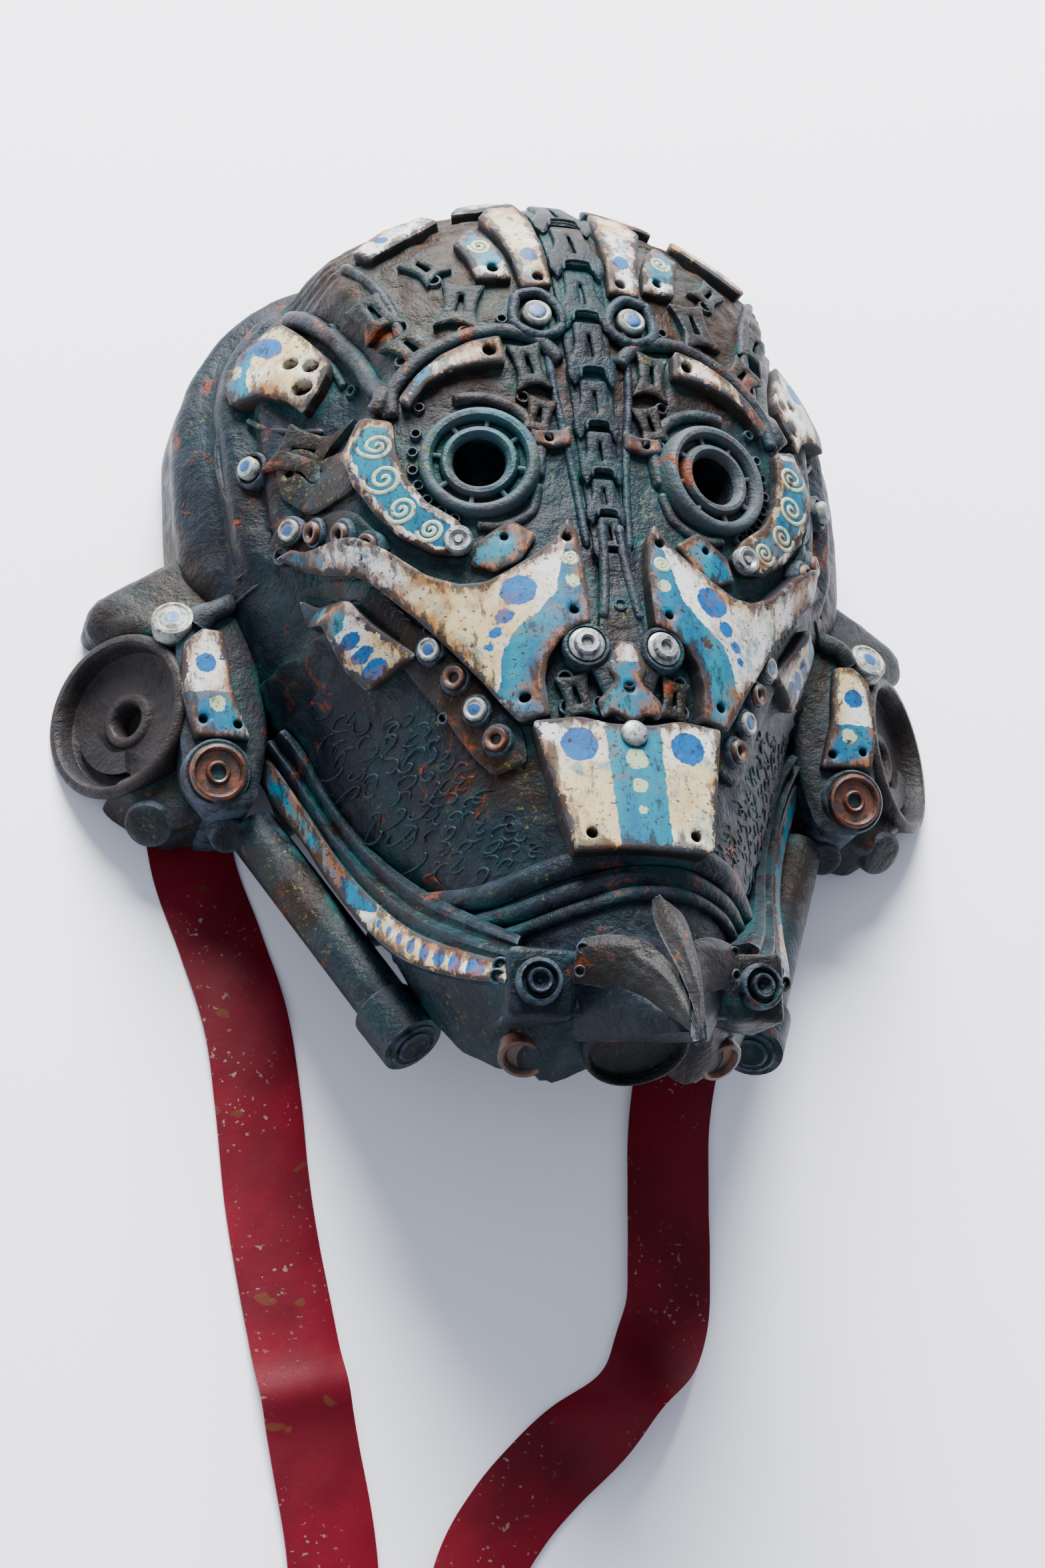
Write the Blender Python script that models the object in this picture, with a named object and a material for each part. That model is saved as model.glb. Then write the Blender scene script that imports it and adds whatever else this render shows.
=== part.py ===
# Robot mask with two tie ribbons, lying face up on its open back.
# Metres, +Z out of the face, +Y towards the crown, the face symmetric in X.
# Origin: under the middle of the mask, on the plane of its flat rear rim.
import math

import bmesh
import bpy
from mathutils import Matrix, Vector

# Driving sizes of the casting
MASK_HEIGHT = 0.285         # chin to crown
WALL = 0.0045               # thickness of the cast shell
PLATE_PROUD = 0.0035        # enamel plates above the skin
WING_PROUD = 0.0055         # the two cheek wings above the skin
LINK_PROUD = 0.0025         # chain links and small tabs above the skin
PLATE_SINK = 0.0025         # how far raised work runs into the skin below it
EYE_HOLE_RADIUS = 0.0072
EYE_RING_RADIUS = 0.017
EYE_RING_PROUD = 0.0045
WASHER_RADIUS = 0.0042      # the small bolts' washers
WASHER_PROUD = 0.003
POD_RADIUS = 0.025          # the ear pods' discs
POD_RECESS = 0.006
POD_DEPTH = 0.026
POD_RIM = 0.0032
POD_HUB_RADIUS = 0.0075
BLOCK_BOLT_RADIUS = 0.0062
SPEAKER_RADIUS = 0.018
RIDGE_RADIUS = 0.0026       # flowing ridges on the helmet's rim

# Driving sizes of the ribbons
RIBBON_WIDTH = 0.025
RIBBON_THICKNESS = 0.0006
RIBBON_LIFT = 0.0006        # a ribbon's underside above the resting plane
RIBBON_LENGTH = 0.32
SLOT_CLEARANCE = 0.001      # the pod's ribbon slot all round the ribbon
SLOT_REACH = 0.006          # how far the slot runs past the ribbon's first leg
RIBBON_STATIONS = 26

# The face's proportions are counted in 285ths of its height
U = MASK_HEIGHT / 285.0

# The face is drawn above its own zero level, and the flat rear rim lies below that
RIM_LEVEL = -7
RIM_TAPER = 1.5
BELOW_RIM = RIM_LEVEL - 2

# Profiles of the face along Y, as (y, value) pairs in those shares
CHIN_Y = -112
CROWN_Y = 168
BEAK_TIP_Y = -117
CREST = [(-112, 84), (-106, 98), (-96, 103), (-30, 104), (0, 104), (30, 101), (60, 98),
         (90, 97), (110, 95), (131, 90), (148, 81), (160, 70), (168, 54)]
TEMPLE = [(-112, 84), (-106, 98), (-96, 103), (-30, 104), (0, 101), (25, 96), (60, 90),
          (90, 89), (110, 84), (131, 74), (148, 62), (160, 52), (168, 40)]
HALF_WIDTH = [(-112, 34), (-104, 44), (-90, 50), (-65, 54), (-42, 61.5), (-15, 71.5), (0, 77),
              (20, 87), (40, 97), (60, 104), (80, 106), (100, 106), (118, 102), (134, 94),
              (147, 81), (157, 64), (164, 43), (168, 22)]
BROW_ARC = [(20, 76), (30, 66), (45, 69), (60, 70), (78, 64), (92, 58), (105, 60), (118, 65),
            (130, 70), (142, 70), (152, 60), (168, 36)]
BROW_FULLNESS = [(-112, 2.1), (10, 2.1), (60, 2.5), (110, 2.15), (168, 2.3)]
TEMPLE_FULLNESS = 1.85
BROW_STEP_WIDTH = 9

EYE = (34, 60)
EYE_TURN = math.radians(16)
POD = (123, 15, 12)
POD_TURN = math.radians(48)
SHORTEST_EDGE = 0.0002
KEPT_TRIANGLES = 0.8       # share of the joined triangles that the form needs
RESTING_BLOCK = 0.3         # size of the block that trims what hangs below the rim
JAW_TRIM_TURN = math.radians(-38)
JAW_TRIM_HALF_WIDTH = 79

# Where each ribbon's middle line runs on the table, from the pod outwards
LEFT_ROUTE = [(101, 8), (98, -23), (90.5, -47), (84, -70), (81, -94), (78.5, -126), (73.5, -161),
              (68.5, -193), (64.5, -224), (65, -262)]
RIGHT_ROUTE = [(98, 9), (84, -11), (70, -34), (58, -58), (48, -79), (42.5, -100), (40, -122),
               (38.5, -141), (36, -158), (27, -173), (13, -187), (-2, -200), (-14, -212),
               (-23.5, -226), (-30, -247), (-31, -270)]


def profile(y, knots):
    """Smooth curve without overshoot through (y, value) knots."""
    y = min(max(y, knots[0][0]), knots[-1][0])
    steps = [(b[1] - a[1]) / (b[0] - a[0]) for a, b in zip(knots, knots[1:])]
    slopes = [steps[0]]
    for before, after in zip(steps, steps[1:]):
        slopes.append(2 * before * after / (before + after) if before * after > 0 else 0.0)
    slopes.append(steps[-1])
    i = next(k for k in range(len(steps)) if y <= knots[k + 1][0])
    span = knots[i + 1][0] - knots[i][0]
    t = (y - knots[i][0]) / span
    return ((2 * t ** 3 - 3 * t ** 2 + 1) * knots[i][1] + (t ** 3 - 2 * t ** 2 + t) * span * slopes[i]
            + (3 * t ** 2 - 2 * t ** 3) * knots[i + 1][1] + (t ** 3 - t ** 2) * span * slopes[i + 1])


def section(x, y, top, fullness):
    """Height of a superellipse section of the face at x, for the station y."""
    share = min(abs(x) / profile(y, HALF_WIDTH), 1.0)
    return top * (1 - share ** fullness) ** (1 / fullness)


def face_height(x, y):
    """Height of the bare skin over (x, y): a brow dome, and lower temples outside its arc."""
    brow = section(x, y, profile(y, CREST), profile(y, BROW_FULLNESS))
    if y < BROW_ARC[0][0]:
        return brow
    temple = section(x, y, profile(y, TEMPLE), TEMPLE_FULLNESS)
    t = (abs(x) - profile(y, BROW_ARC)) / BROW_STEP_WIDTH + 0.5
    t = min(max(t, 0.0), 1.0)
    t = t * t * (3 - 2 * t)
    return brow * (1 - t) + temple * t


def face_normal(x, y):
    """Outward normal of the skin, kept off the horizontal near the outline."""
    h = 4
    slope_x = (face_height(x + h, y) - face_height(x - h, y)) / (2 * h)
    slope_y = (face_height(x, y + h) - face_height(x, y - h)) / (2 * h)
    return Vector((-max(min(slope_x, 3), -3), -max(min(slope_y, 3), -3), 1)).normalized()


def on_face(x, y, proud=0.0):
    """Point of the skin, in metres, raised along its normal."""
    return Vector((x, y, face_height(x, y))) * U + face_normal(x, y) * proud


def clear_scene():
    for old in list(bpy.data.objects):
        bpy.data.objects.remove(old, do_unlink=True)


def new_collection(name):
    collection = bpy.data.collections.new(name)
    bpy.context.scene.collection.children.link(collection)
    return collection


def add_mesh(name, bm, collection):
    bmesh.ops.recalc_face_normals(bm, faces=bm.faces)
    mesh = bpy.data.meshes.new(name)
    bm.to_mesh(mesh)
    bm.free()
    obj = bpy.data.objects.new(name, mesh)
    collection.objects.link(obj)
    if collection.name != "robot_mask":
        obj.hide_render = True
        obj.display_type = "WIRE"
    return obj


def make_material(name, colour, roughness, metallic):
    material = bpy.data.materials.new(name)
    material.use_nodes = True
    shader = material.node_tree.nodes["Principled BSDF"]
    shader.inputs["Base Color"].default_value = (*colour, 1.0)
    shader.inputs["Roughness"].default_value = roughness
    shader.inputs["Metallic"].default_value = metallic
    return material


def bridge_rings(bm, rings):
    """Skin between rings of points, with its two ends closed."""
    loops = [[bm.verts.new(p) for p in ring] for ring in rings]
    for low, high in zip(loops, loops[1:]):
        for i in range(len(low)):
            j = (i + 1) % len(low)
            bm.faces.new((low[i], low[j], high[j], high[i]))
    bm.faces.new(loops[0])
    bm.faces.new(loops[-1])


def dome(name, collection, offset, foot, spokes, rings):
    """The face as a solid: spokes run from the middle line to the outline, then down to foot.

    offset moves the skin along its normal: 0 for the outside, minus the wall for the hollow."""
    outline = []
    for i in range(spokes + 1):
        turn = math.pi * i / spokes
        y = (CHIN_Y + CROWN_Y) / 2 - (CROWN_Y - CHIN_Y) / 2 * math.cos(turn)
        outline.append((profile(y, HALF_WIDTH), y))
    outline[0] = (0, CHIN_Y)
    outline[-1] = (0, CROWN_Y)
    inset = RIM_TAPER - offset / U
    bm = bmesh.new()
    grid = []
    for i, (edge_x, edge_y) in enumerate(outline):
        share = i / spokes
        root_y = (CHIN_Y + 26) * (1 - share) + (CROWN_Y - 26) * share
        line = []
        for k in range(rings + 1):
            reach = 1 - (1 - k / rings) ** 1.35
            x = edge_x * reach
            y = root_y + (edge_y - root_y) * reach
            line.append((x, y))
        grid.append(line)
    centre_y = (CHIN_Y + CROWN_Y) / 2
    cache = {}

    def vertex(x, y, side, level=None):
        x = x * side
        key = (round(x, 4), round(y, 4), level)
        if key not in cache:
            if level is None:
                point = on_face(x, y, offset)
                point.z = max(point.z, 0.0)
            else:
                flat = Vector((x, y - centre_y))
                away = flat.normalized() * inset
                point = Vector((x - away.x, y - away.y, 0)) * U
                point.z = level
            cache[key] = bm.verts.new(point)
        return cache[key]

    def add_face(corners):
        ordered = []
        for corner in corners:
            if corner not in ordered:
                ordered.append(corner)
        if len(ordered) > 2:
            bm.faces.new(ordered)

    for side in (1, -1):
        for near, far in zip(grid, grid[1:]):
            for k in range(rings):
                add_face([vertex(*near[k], side), vertex(*near[k + 1], side),
                          vertex(*far[k + 1], side), vertex(*far[k], side)])
            add_face([vertex(*near[-1], side), vertex(*near[-1], side, foot),
                      vertex(*far[-1], side, foot), vertex(*far[-1], side)])
    bm.verts.ensure_lookup_table()
    rim = [vertex(*line[-1], 1, foot) for line in grid]
    rim += [vertex(*line[-1], -1, foot) for line in reversed(grid[1:-1])]
    bm.faces.new(rim)
    return add_mesh(name, bm, collection)


def slab(name, collection, outline, proud, top=None, sink=PLATE_SINK, step=13.0):
    """A raised plate: a flat outline, cut every step, laid over the skin and thickened."""
    bm = bmesh.new()
    bm.faces.new([bm.verts.new((x, y, 0)) for x, y in outline])
    for axis in (0, 1):
        values = [p[axis] for p in outline]
        count = max(int((max(values) - min(values)) / step), 1)
        for k in range(1, count):
            place = Vector((0, 0, 0))
            place[axis] = min(values) + (max(values) - min(values)) * k / count
            normal = Vector((1 - axis, axis, 0))
            bmesh.ops.bisect_plane(bm, geom=bm.verts[:] + bm.edges[:] + bm.faces[:], dist=0.05,
                                   plane_co=place, plane_no=normal)
    bmesh.ops.triangulate(bm, faces=bm.faces)
    top_faces = list(bm.faces)
    lower = bmesh.ops.duplicate(bm, geom=top_faces)
    mates = lower["vert_map"]
    for face in top_faces:
        for edge in list(face.edges):
            if len(edge.link_faces) == 1:
                a, b = edge.verts
                bm.faces.new((a, b, mates[b], mates[a]))
    uppers = {v for face in top_faces for v in face.verts}
    for v in uppers:
        x, y = v.co.x, v.co.y
        normal = face_normal(x, y)
        low = on_face(x, y, -sink)
        high = on_face(x, y, proud) if top is None else Vector((x, y, top(x, y))) * U
        if top is not None:
            low = Vector((high.x, high.y, low.z))
        mates[v].co = low
        v.co = high
    return add_mesh(name, bm, collection)


def prism(name, collection, outline, low, top):
    """An upright block over an outline, from one level up to top(x, y)."""
    bm = bmesh.new()
    bridge_rings(bm, [[Vector((x, y, low)) * U for x, y in outline],
                      [Vector((x, y, top(x, y))) * U for x, y in outline]])
    bmesh.ops.triangulate(bm, faces=[f for f in bm.faces if len(f.verts) > 4])
    return add_mesh(name, bm, collection)


def lathe(name, collection, points, sides, matrix):
    """A turned solid: (radius, height) points, from the outer foot up to the axis."""
    bm = bmesh.new()
    rings = []
    for radius, height in points:
        ring = [Vector((radius * math.cos(2 * math.pi * i / sides),
                        radius * math.sin(2 * math.pi * i / sides), height)) for i in range(sides)]
        rings.append([matrix @ p for p in ring])
    bridge_rings(bm, rings)
    return add_mesh(name, bm, collection)


def seat(point, normal, spin=0.0):
    """Frame at a point, with its Z along the normal."""
    turn = Vector((0, 0, 1)).rotation_difference(normal).to_matrix().to_4x4()
    return Matrix.Translation(point) @ turn @ Matrix.Rotation(spin, 4, "Z")


def bolt(name, collection, x, y, radius, proud, base=0.0, sides=6):
    """A washer with a raised head, seated square to the skin."""
    frame = seat(on_face(x, y, base), face_normal(x, y))
    head = radius * 0.5
    points = [(radius, -PLATE_SINK), (radius * 0.9, proud), (head, proud * 0.75)]
    return lathe(name, collection, points, sides, frame)


def tube(name, collection, points, radius, sides=4):
    """A round ridge along points, its ends buried in what it runs into."""
    bm = bmesh.new()
    rings = []
    for i, p in enumerate(points):
        before = points[max(i - 1, 0)]
        after = points[min(i + 1, len(points) - 1)]
        frame = seat(p, (after - before).normalized())
        rings.append([frame @ Vector((radius * math.cos(2 * math.pi * k / sides),
                                      radius * math.sin(2 * math.pi * k / sides), 0))
                      for k in range(sides)])
    bridge_rings(bm, rings)
    return add_mesh(name, bm, collection)


def smooth_path(points, count):
    """Evenly counted points on a smooth curve through hand-placed ones."""
    def along(t):
        i = min(int(t), len(points) - 2)
        t -= i
        p0 = points[max(i - 1, 0)]
        p1, p2 = points[i], points[i + 1]
        p3 = points[min(i + 2, len(points) - 1)]
        return 0.5 * ((2 * p1) + (p2 - p0) * t + (2 * p0 - 5 * p1 + 4 * p2 - p3) * t * t
                      + (3 * p1 - p0 - 3 * p2 + p3) * t ** 3)
    return [along((len(points) - 1) * k / (count - 1)) for k in range(count)]


def ridge(name, collection, places, radius, count, lift=0.0, sides=4):
    """A tube that follows the skin through (x, y) places."""
    flat = smooth_path([Vector((x, y, 0)) for x, y in places], count)
    return tube(name, collection, [on_face(p.x, p.y, lift) for p in flat], radius, sides)


def box(name, collection, centre, size, turn=None):
    bm = bmesh.new()
    matrix = Matrix.Translation(centre) @ (turn or Matrix.Identity(4))
    bmesh.ops.create_cube(bm, size=1.0, matrix=matrix @ Matrix.Diagonal((*size, 1.0)))
    return add_mesh(name, bm, collection)


def hull(name, collection, points):
    """The tight convex skin around points given in shares of the height."""
    bm = bmesh.new()
    for p in points:
        bm.verts.new(Vector(p) * U)
    bmesh.ops.convex_hull(bm, input=bm.verts)
    bmesh.ops.delete(bm, geom=[v for v in bm.verts if not v.link_faces], context="VERTS")
    return add_mesh(name, bm, collection)


def brow_and_crown(relief):
    """Enamel plates, tabs and ridges of the forehead."""
    plates = {
        "crown_tan": [(10, 114), (20, 112), (23, 126), (26, 137), (24, 146), (15, 148), (13, 131)],
        "crown_teal": [(23, 117), (31, 118), (35, 126), (36, 137), (29, 143), (27, 134), (23, 124)],
        "crown_side": [(37, 142), (51, 133), (57, 140), (44, 152), (37, 149)],
        "crown_tab": [(8, 153), (20, 150), (22, 158), (9, 162)],
        "brow": [(27, 86), (28, 98), (38, 99), (47, 94), (54, 85), (57, 77), (52, 75), (46, 84),
                 (38, 88)],
        "temple": [(66, 99), (66, 106), (72, 116), (78, 124), (86, 118), (91, 106), (92, 98),
                   (86, 101), (80, 96), (75, 88)],
        "spine_side": [(9, 79), (15, 77), (23, 84), (22, 95), (14, 93)],
    }
    for name, outline in plates.items():
        proud = LINK_PROUD if name == "spine_side" else PLATE_PROUD
        slab(name, relief, outline, proud)
    tabs = {
        "tab_high": [(52, 108), (59, 106), (66, 124), (58, 127)],
        "tab_mid": [(40, 100), (48, 98), (50, 105), (42, 108)],
        "tab_low": [(29, 110), (35, 102), (42, 104), (39, 113), (38, 121), (33, 120)],
        "tab_crown": [(38, 124), (46, 122), (48, 130), (41, 134)],
    }
    for name, outline in tabs.items():
        slab(name, relief, outline, LINK_PROUD)
    bolt("forehead_bolt", relief, 15.5, 107, 0.0075, 0.0035, LINK_PROUD * 0.5, 8)
    ridge("arc_outer", relief, [(74, 131), (66, 119), (61, 106), (60, 94), (62, 84)], 0.0035, 9, 0.001)
    ridge("arc_inner", relief, [(63, 136), (57, 122), (53, 106), (52, 92)], 0.0024, 8, 0.0004)


def spine(relief):
    """A row of interlocking chain links down the middle, narrowing to the nose."""
    link_count = 9
    y = 160.0
    for i in range(link_count):
        shrink = 1 - 0.035 * i
        long = 15.0 * shrink
        wide = 8.2 * shrink
        waist = 4.4 * shrink
        low = y - long
        slab(f"spine_link_{i}", relief,
             [(-waist, y), (waist, y), (waist, y - long * 0.22), (wide, y - long * 0.42),
              (wide, y - long * 0.72), (waist, low + 0.4), (-waist, low + 0.4),
              (-wide, y - long * 0.72), (-wide, y - long * 0.42), (-waist, y - long * 0.22)],
             LINK_PROUD + 0.001 + 0.0012 * (i % 2))
        y = low
    bridge_low = 14
    slab("nose_bar", relief, [(-3.6, y + 1), (3.6, y + 1), (5.2, bridge_low), (9.5, bridge_low - 12),
                              (4, bridge_low - 16), (-4, bridge_low - 16), (-9.5, bridge_low - 12),
                              (-5.2, bridge_low)], PLATE_PROUD)


def eyes(bulk, relief, cutters):
    """Ringed portholes, turned outwards, with the hole cut right through."""
    x, y = EYE
    normal = Vector((math.sin(EYE_TURN), 0, math.cos(EYE_TURN)))
    frame = seat(on_face(x, y), normal)
    rim = EYE_RING_RADIUS
    proud = EYE_RING_PROUD
    hole = EYE_HOLE_RADIUS
    lathe("eye_ring", bulk, [(rim, -0.012), (rim, proud * 0.4), (rim * 0.92, proud),
                             (rim * 0.75, proud), (rim * 0.7, proud * 0.35),
                             (rim * 0.62, proud * 0.35), (rim * 0.58, proud * 0.8)], 16, frame)
    lathe("eye_hole", cutters, [(hole, -0.06), (hole, 0.03)], 16, frame)
    ridge("orbit", relief, [(54, 70), (50, 80), (42, 85), (31, 84), (21, 78), (15, 68)],
          0.0022, 7)
    slab("swirl_plate", relief, [(60, 74), (56, 66), (54, 56), (49, 46), (39, 38), (42, 30), (52, 33),
                                 (60, 41), (66, 52), (68, 62), (66, 73)], PLATE_PROUD)
    bolt("swirl_bolt", relief, 41, 34.5, 0.0042, 0.003, PLATE_PROUD)
    slab("eye_patch", relief, [(21, 35), (28, 40), (39, 31), (34, 25), (25, 28)], LINK_PROUD)


def cheeks(relief):
    """Wing plates with their thick side walls, bolts, spikes and the ledge below them."""
    slab("wing", relief, [(80, 48), (76, 49), (57, 35), (40, 22), (28, 25), (18, 32), (11, 42),
                          (9, 26), (8.5, 8), (16, 3), (20, -6), (20, -18), (27, -19), (35, -7),
                          (42, 4), (50, 15), (60, 27)], WING_PROUD, sink=0.002)
    slab("spike", relief, [(75, 34), (68, 30), (57, 17), (51, 6), (60, 0), (64, 8), (71, 22)],
         PLATE_PROUD)
    slab("ledge", relief, [(50, 14), (40, 0), (27, -20), (26, -28), (34, -30), (44, -12), (54, 8)],
         0.0012)
    for i, (x, y) in enumerate([(47, 7), (41.5, -3), (37, -13), (32.5, -22)]):
        bolt(f"ledge_bolt_{i}", relief, x, y, WASHER_RADIUS, WASHER_PROUD, 0.001)
    for i, (x, y) in enumerate([(76, 54), (71, 50), (66, 44), (61.5, 38)]):
        bolt(f"row_bolt_{i}", relief, x, y, WASHER_RADIUS, WASHER_PROUD, 0.001)
    bolt("bridge_bolt", relief, 10.5, 1, 0.0056, 0.0045, PLATE_PROUD, 8)
    slab("temple_link", relief, [(82, 78), (68, 74), (65, 62), (68, 54), (74, 60), (80, 68)],
         LINK_PROUD)
    bolt("temple_eyelet", relief, 86, 78, 0.0046, 0.003)


def nose_plate(relief):
    """The thick enamel trapezoid under the nose, rising towards its lower edge."""
    top_y, low_y = -20, -58
    half_top, half_low = 26.5, 18.5

    def height(x, y):
        return 108 + (top_y - y) * 0.105 - 0.0045 * x * x

    slab("nose_plate", relief, [(-half_top, top_y), (-half_low, low_y), (half_low, low_y),
                                (half_top, top_y)], 0, top=height, sink=0.003)
    bolt("nose_centre_bolt", relief, 0, -24, 0.0036, 0.0035, 0.0045)


def jaw_point(t, inner):
    """A point of the jaw band at share t from the pod to the chin, on its inner or outer edge."""
    outer_edge = [(86, 0, 17), (80, -13, 21), (73, -28, 28), (67, -44, 36), (61, -61, 50),
                  (55, -75, 66), (47, -85, 84), (38, -92, 101)]
    inner_edge = [(78, 4, 34), (73, -2, 34), (67, -15, 36), (61, -29, 42), (55, -42, 52),
                  (48, -55, 66), (41, -66, 81), (32, -78, 98)]
    edge = [Vector(p) for p in (inner_edge if inner else outer_edge)]
    i = min(int(t * (len(edge) - 1)), len(edge) - 2)
    share = t * (len(edge) - 1) - i
    return edge[i].lerp(edge[i + 1], share) * U


def jaw(bulk, relief):
    """The jaw band with its ridges, the corner blocks, the rams below and the lips above."""
    count = 10
    depth = 0.013
    bm = bmesh.new()
    rings = []
    for k in range(count):
        t = k / (count - 1)
        inner = jaw_point(t, True)
        outer = jaw_point(t, False)
        across = (outer - inner)
        lift = Vector((0.35, -0.2, 1)).normalized()
        ring = [inner - lift * depth]
        for share, height in ((0, -0.001), (0.14, 0.0016), (0.26, -0.001), (0.4, 0.002),
                              (0.54, 0.0), (1.0, 0.0022)):
            ring.append(inner + across * share + lift * height)
        ring.append(outer - lift * depth * 0.8)
        rings.append(ring)
    bridge_rings(bm, rings)
    add_mesh("jaw_band", bm, bulk)
    hull("corner_block", bulk, [(21, -84, 107), (37.5, -83, 106), (38.5, -101, 101), (21, -102, 104),
                                (15, -84, 83), (36, -82, 81), (37, -99, 81), (14, -97, 83),
                                (15, -84, 100), (15, -97, 100)])
    frame = seat(Vector((30, -92.5, 104)) * U, Vector((0.12, -0.14, 1)))
    radius = BLOCK_BOLT_RADIUS
    lathe("corner_bolt", relief, [(radius, -0.003), (radius, 0.003), (radius * 0.75, 0.0042),
                                  (radius * 0.45, 0.0028)], 12, frame)
    tube("ram", relief, [Vector((84, -20, 14)) * U, Vector((66, -56, 30)) * U,
                         Vector((50, -90, 47)) * U], 0.0075, 8)
    tube("ram_end", relief, [Vector((55, -81, 42)) * U, Vector((49, -93, 48)) * U], 0.0092, 10)
    hull("under_jaw", relief, [(13, -80, 90), (46, -77, 82), (57, -62, 50), (47, -60, 41),
                               (48, -79, 47), (45, -89, 55), (39, -99, 61), (31, -106, 66),
                               (20, -106, 72), (13, -102, 91), (32, -94, 91), (20, -66, 88),
                               (30, -62, 60)])
    under = seat(Vector((28, -101, 72)) * U, Vector((0.1, -0.95, 0.35)))
    lathe("under_bolt", relief, [(0.0065, -0.006), (0.0065, 0.0035), (0.004, 0.0045)], 12, under)
    lip_rows = (-61, -66, -71)
    for i, y in enumerate(lip_rows):
        places = [(-46 + 2 * i, y - 13 - i), (-36, y - 7), (-22, y - 2), (0, y), (22, y - 2),
                  (36, y - 7), (46 - 2 * i, y - 13 - i)]
        ridge(f"lip_{i}", relief, places, 0.0032, 11, 0.0004)


def beak(bulk, relief):
    """Two horn plates that meet in a ridge and end in a downward point, with the speaker below."""
    hull("beak_ridge", relief, [(0, -72, 108), (0, -73, 116), (0, -86, 126), (0, -104, 134),
                                (0, BEAK_TIP_Y, 138), (9, -88, 119), (-9, -88, 119), (5, -106, 128),
                                (-5, -106, 128), (9, -98, 112), (-9, -98, 112), (0, -108, 116)])
    hull("beak_plates", relief, [(-18, -86, 121), (18, -86, 121), (-22, -96, 114), (22, -96, 114),
                                 (-20, -100, 104), (20, -100, 104), (0, -106, 126), (0, -82, 121),
                                 (-16, -84, 100), (16, -84, 100), (0, -108, 106)])
    hull("chin_block", bulk, [(-23, -83, 103), (23, -83, 103), (-23, -101, 104), (23, -101, 104),
                                (-17, -98, 82), (17, -98, 82), (-20, -83, 80), (20, -83, 80)])
    frame = seat(Vector((0, -101, 98)) * U, Vector((0, -0.82, 0.57)))
    radius = SPEAKER_RADIUS
    lathe("speaker", bulk, [(radius, -0.014), (radius, 0.0015), (radius * 0.9, 0.0025),
                              (radius * 0.8, 0.0)], 20, frame)


def pods(bulk, relief):
    """Ear housings: a front block with an enamel plate, and a recessed disc turned outwards."""
    block = [(83, 30), (88, 42), (98, 46), (107, 40), (108, 20), (106, -10), (98, -20), (86, -18),
             (81, 4)]
    prism("pod_block", bulk, block, BELOW_RIM, lambda x, y: 30 - 0.012 * (x - 96) ** 2)
    enamel = [(94.5, 33.5), (106, 30), (105.5, 16), (102.5, 2.5), (87, 1.5), (91.5, 17)]
    prism("pod_enamel", relief, enamel, 26, lambda x, y: 33)
    frame = seat(Vector(POD) * U, Vector((math.sin(POD_TURN), 0, math.cos(POD_TURN))))
    radius = POD_RADIUS
    floor = -POD_RECESS
    hub = POD_HUB_RADIUS
    lathe("pod_disc", bulk, [(radius * 0.85, -POD_DEPTH), (radius, 0), (radius - POD_RIM, 0.0005),
                               (radius - POD_RIM * 1.5, floor), (hub, floor), (hub * 0.9, floor * 0.4),
                               (hub * 0.5, floor * 0.4), (hub * 0.45, floor)], 18, frame)
    for name, place, turn, size, proud in (
            ("pod_front_bolt", (97, -9, 28), (0, -0.35, 1), 0.0085, 0.005),
            ("pod_button", (108.5, 38.5, 25), (0.25, 0.3, 1), 0.0068, 0.005),
            ("pod_knob", (113, -15.5, 8), (0.4, -0.8, 0.7), 0.0066, 0.006),
            ("pod_low_bolt", (92, -21, 14), (-0.1, -0.8, 0.7), 0.0055, 0.005)):
        lathe(name, bulk, [(size, -0.008), (size * 0.9, proud), (size * 0.45, proud * 0.65)], 8,
              seat(Vector(place) * U, Vector(turn)))
    hull("flare", bulk, [(102, 70, BELOW_RIM), (102, 66, 17), (112, 57, 14), (129, 52, 9),
                         (131, 44, 6), (131, 44, BELOW_RIM), (129, 53, BELOW_RIM),
                         (112, 33, BELOW_RIM), (111, 36, 21), (93, 44, BELOW_RIM),
                         (94, 43, 25), (112, 58, BELOW_RIM)])
    hull("pod_foot", bulk, [(87, -15, BELOW_RIM), (87, -15, 21), (108, -21, BELOW_RIM),
                            (108, -20, 16), (126, -8, BELOW_RIM), (124, -6, 12),
                            (101, 5, BELOW_RIM), (101, 5, 19)])


def pod_hollow(cutters):
    """The housing is open behind, with a slot where the ribbon leaves it."""
    hull("pod_back", cutters, [(89, -8, BELOW_RIM), (89, 34, BELOW_RIM), (115, 30, BELOW_RIM),
                               (115, 0, BELOW_RIM), (89, -8, 22), (89, 32, 22), (97, 32, 22), (97, -6, 22)])
    width = RIBBON_WIDTH + 2 * SLOT_CLEARANCE
    height = RIBBON_LIFT + RIBBON_THICKNESS + SLOT_CLEARANCE
    for name, side, route in (("left_slot", -1, LEFT_ROUTE), ("right_slot", 1, RIGHT_ROUTE)):
        start, leave = (Vector((side * x, y, 0)) * U for x, y in route[:2])
        along = leave - start
        turn = Matrix.Rotation(math.atan2(-along.x, along.y), 4, "Z")
        centre = (start + leave) / 2 + Vector((0, 0, RIM_LEVEL * U + height / 2 - SLOT_REACH / 2))
        box(name, cutters, centre, (width, along.length + 2 * SLOT_REACH, height + SLOT_REACH), turn)


def helmet_ridges(relief):
    """Flowing ridges that follow the rear outline."""
    for i, inset in enumerate((3.0, 12.0)):
        places = []
        for k in range(9):
            y = 52 + 14 * k
            wave = 2.2 * math.sin(k * 1.7 + i)
            places.append((profile(y, HALF_WIDTH) - inset - wave, y - inset * 0.25))
        ridge(f"helmet_ridge_{i}", relief, places, RIDGE_RADIUS * (1.2 - 0.15 * i), 10)


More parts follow.
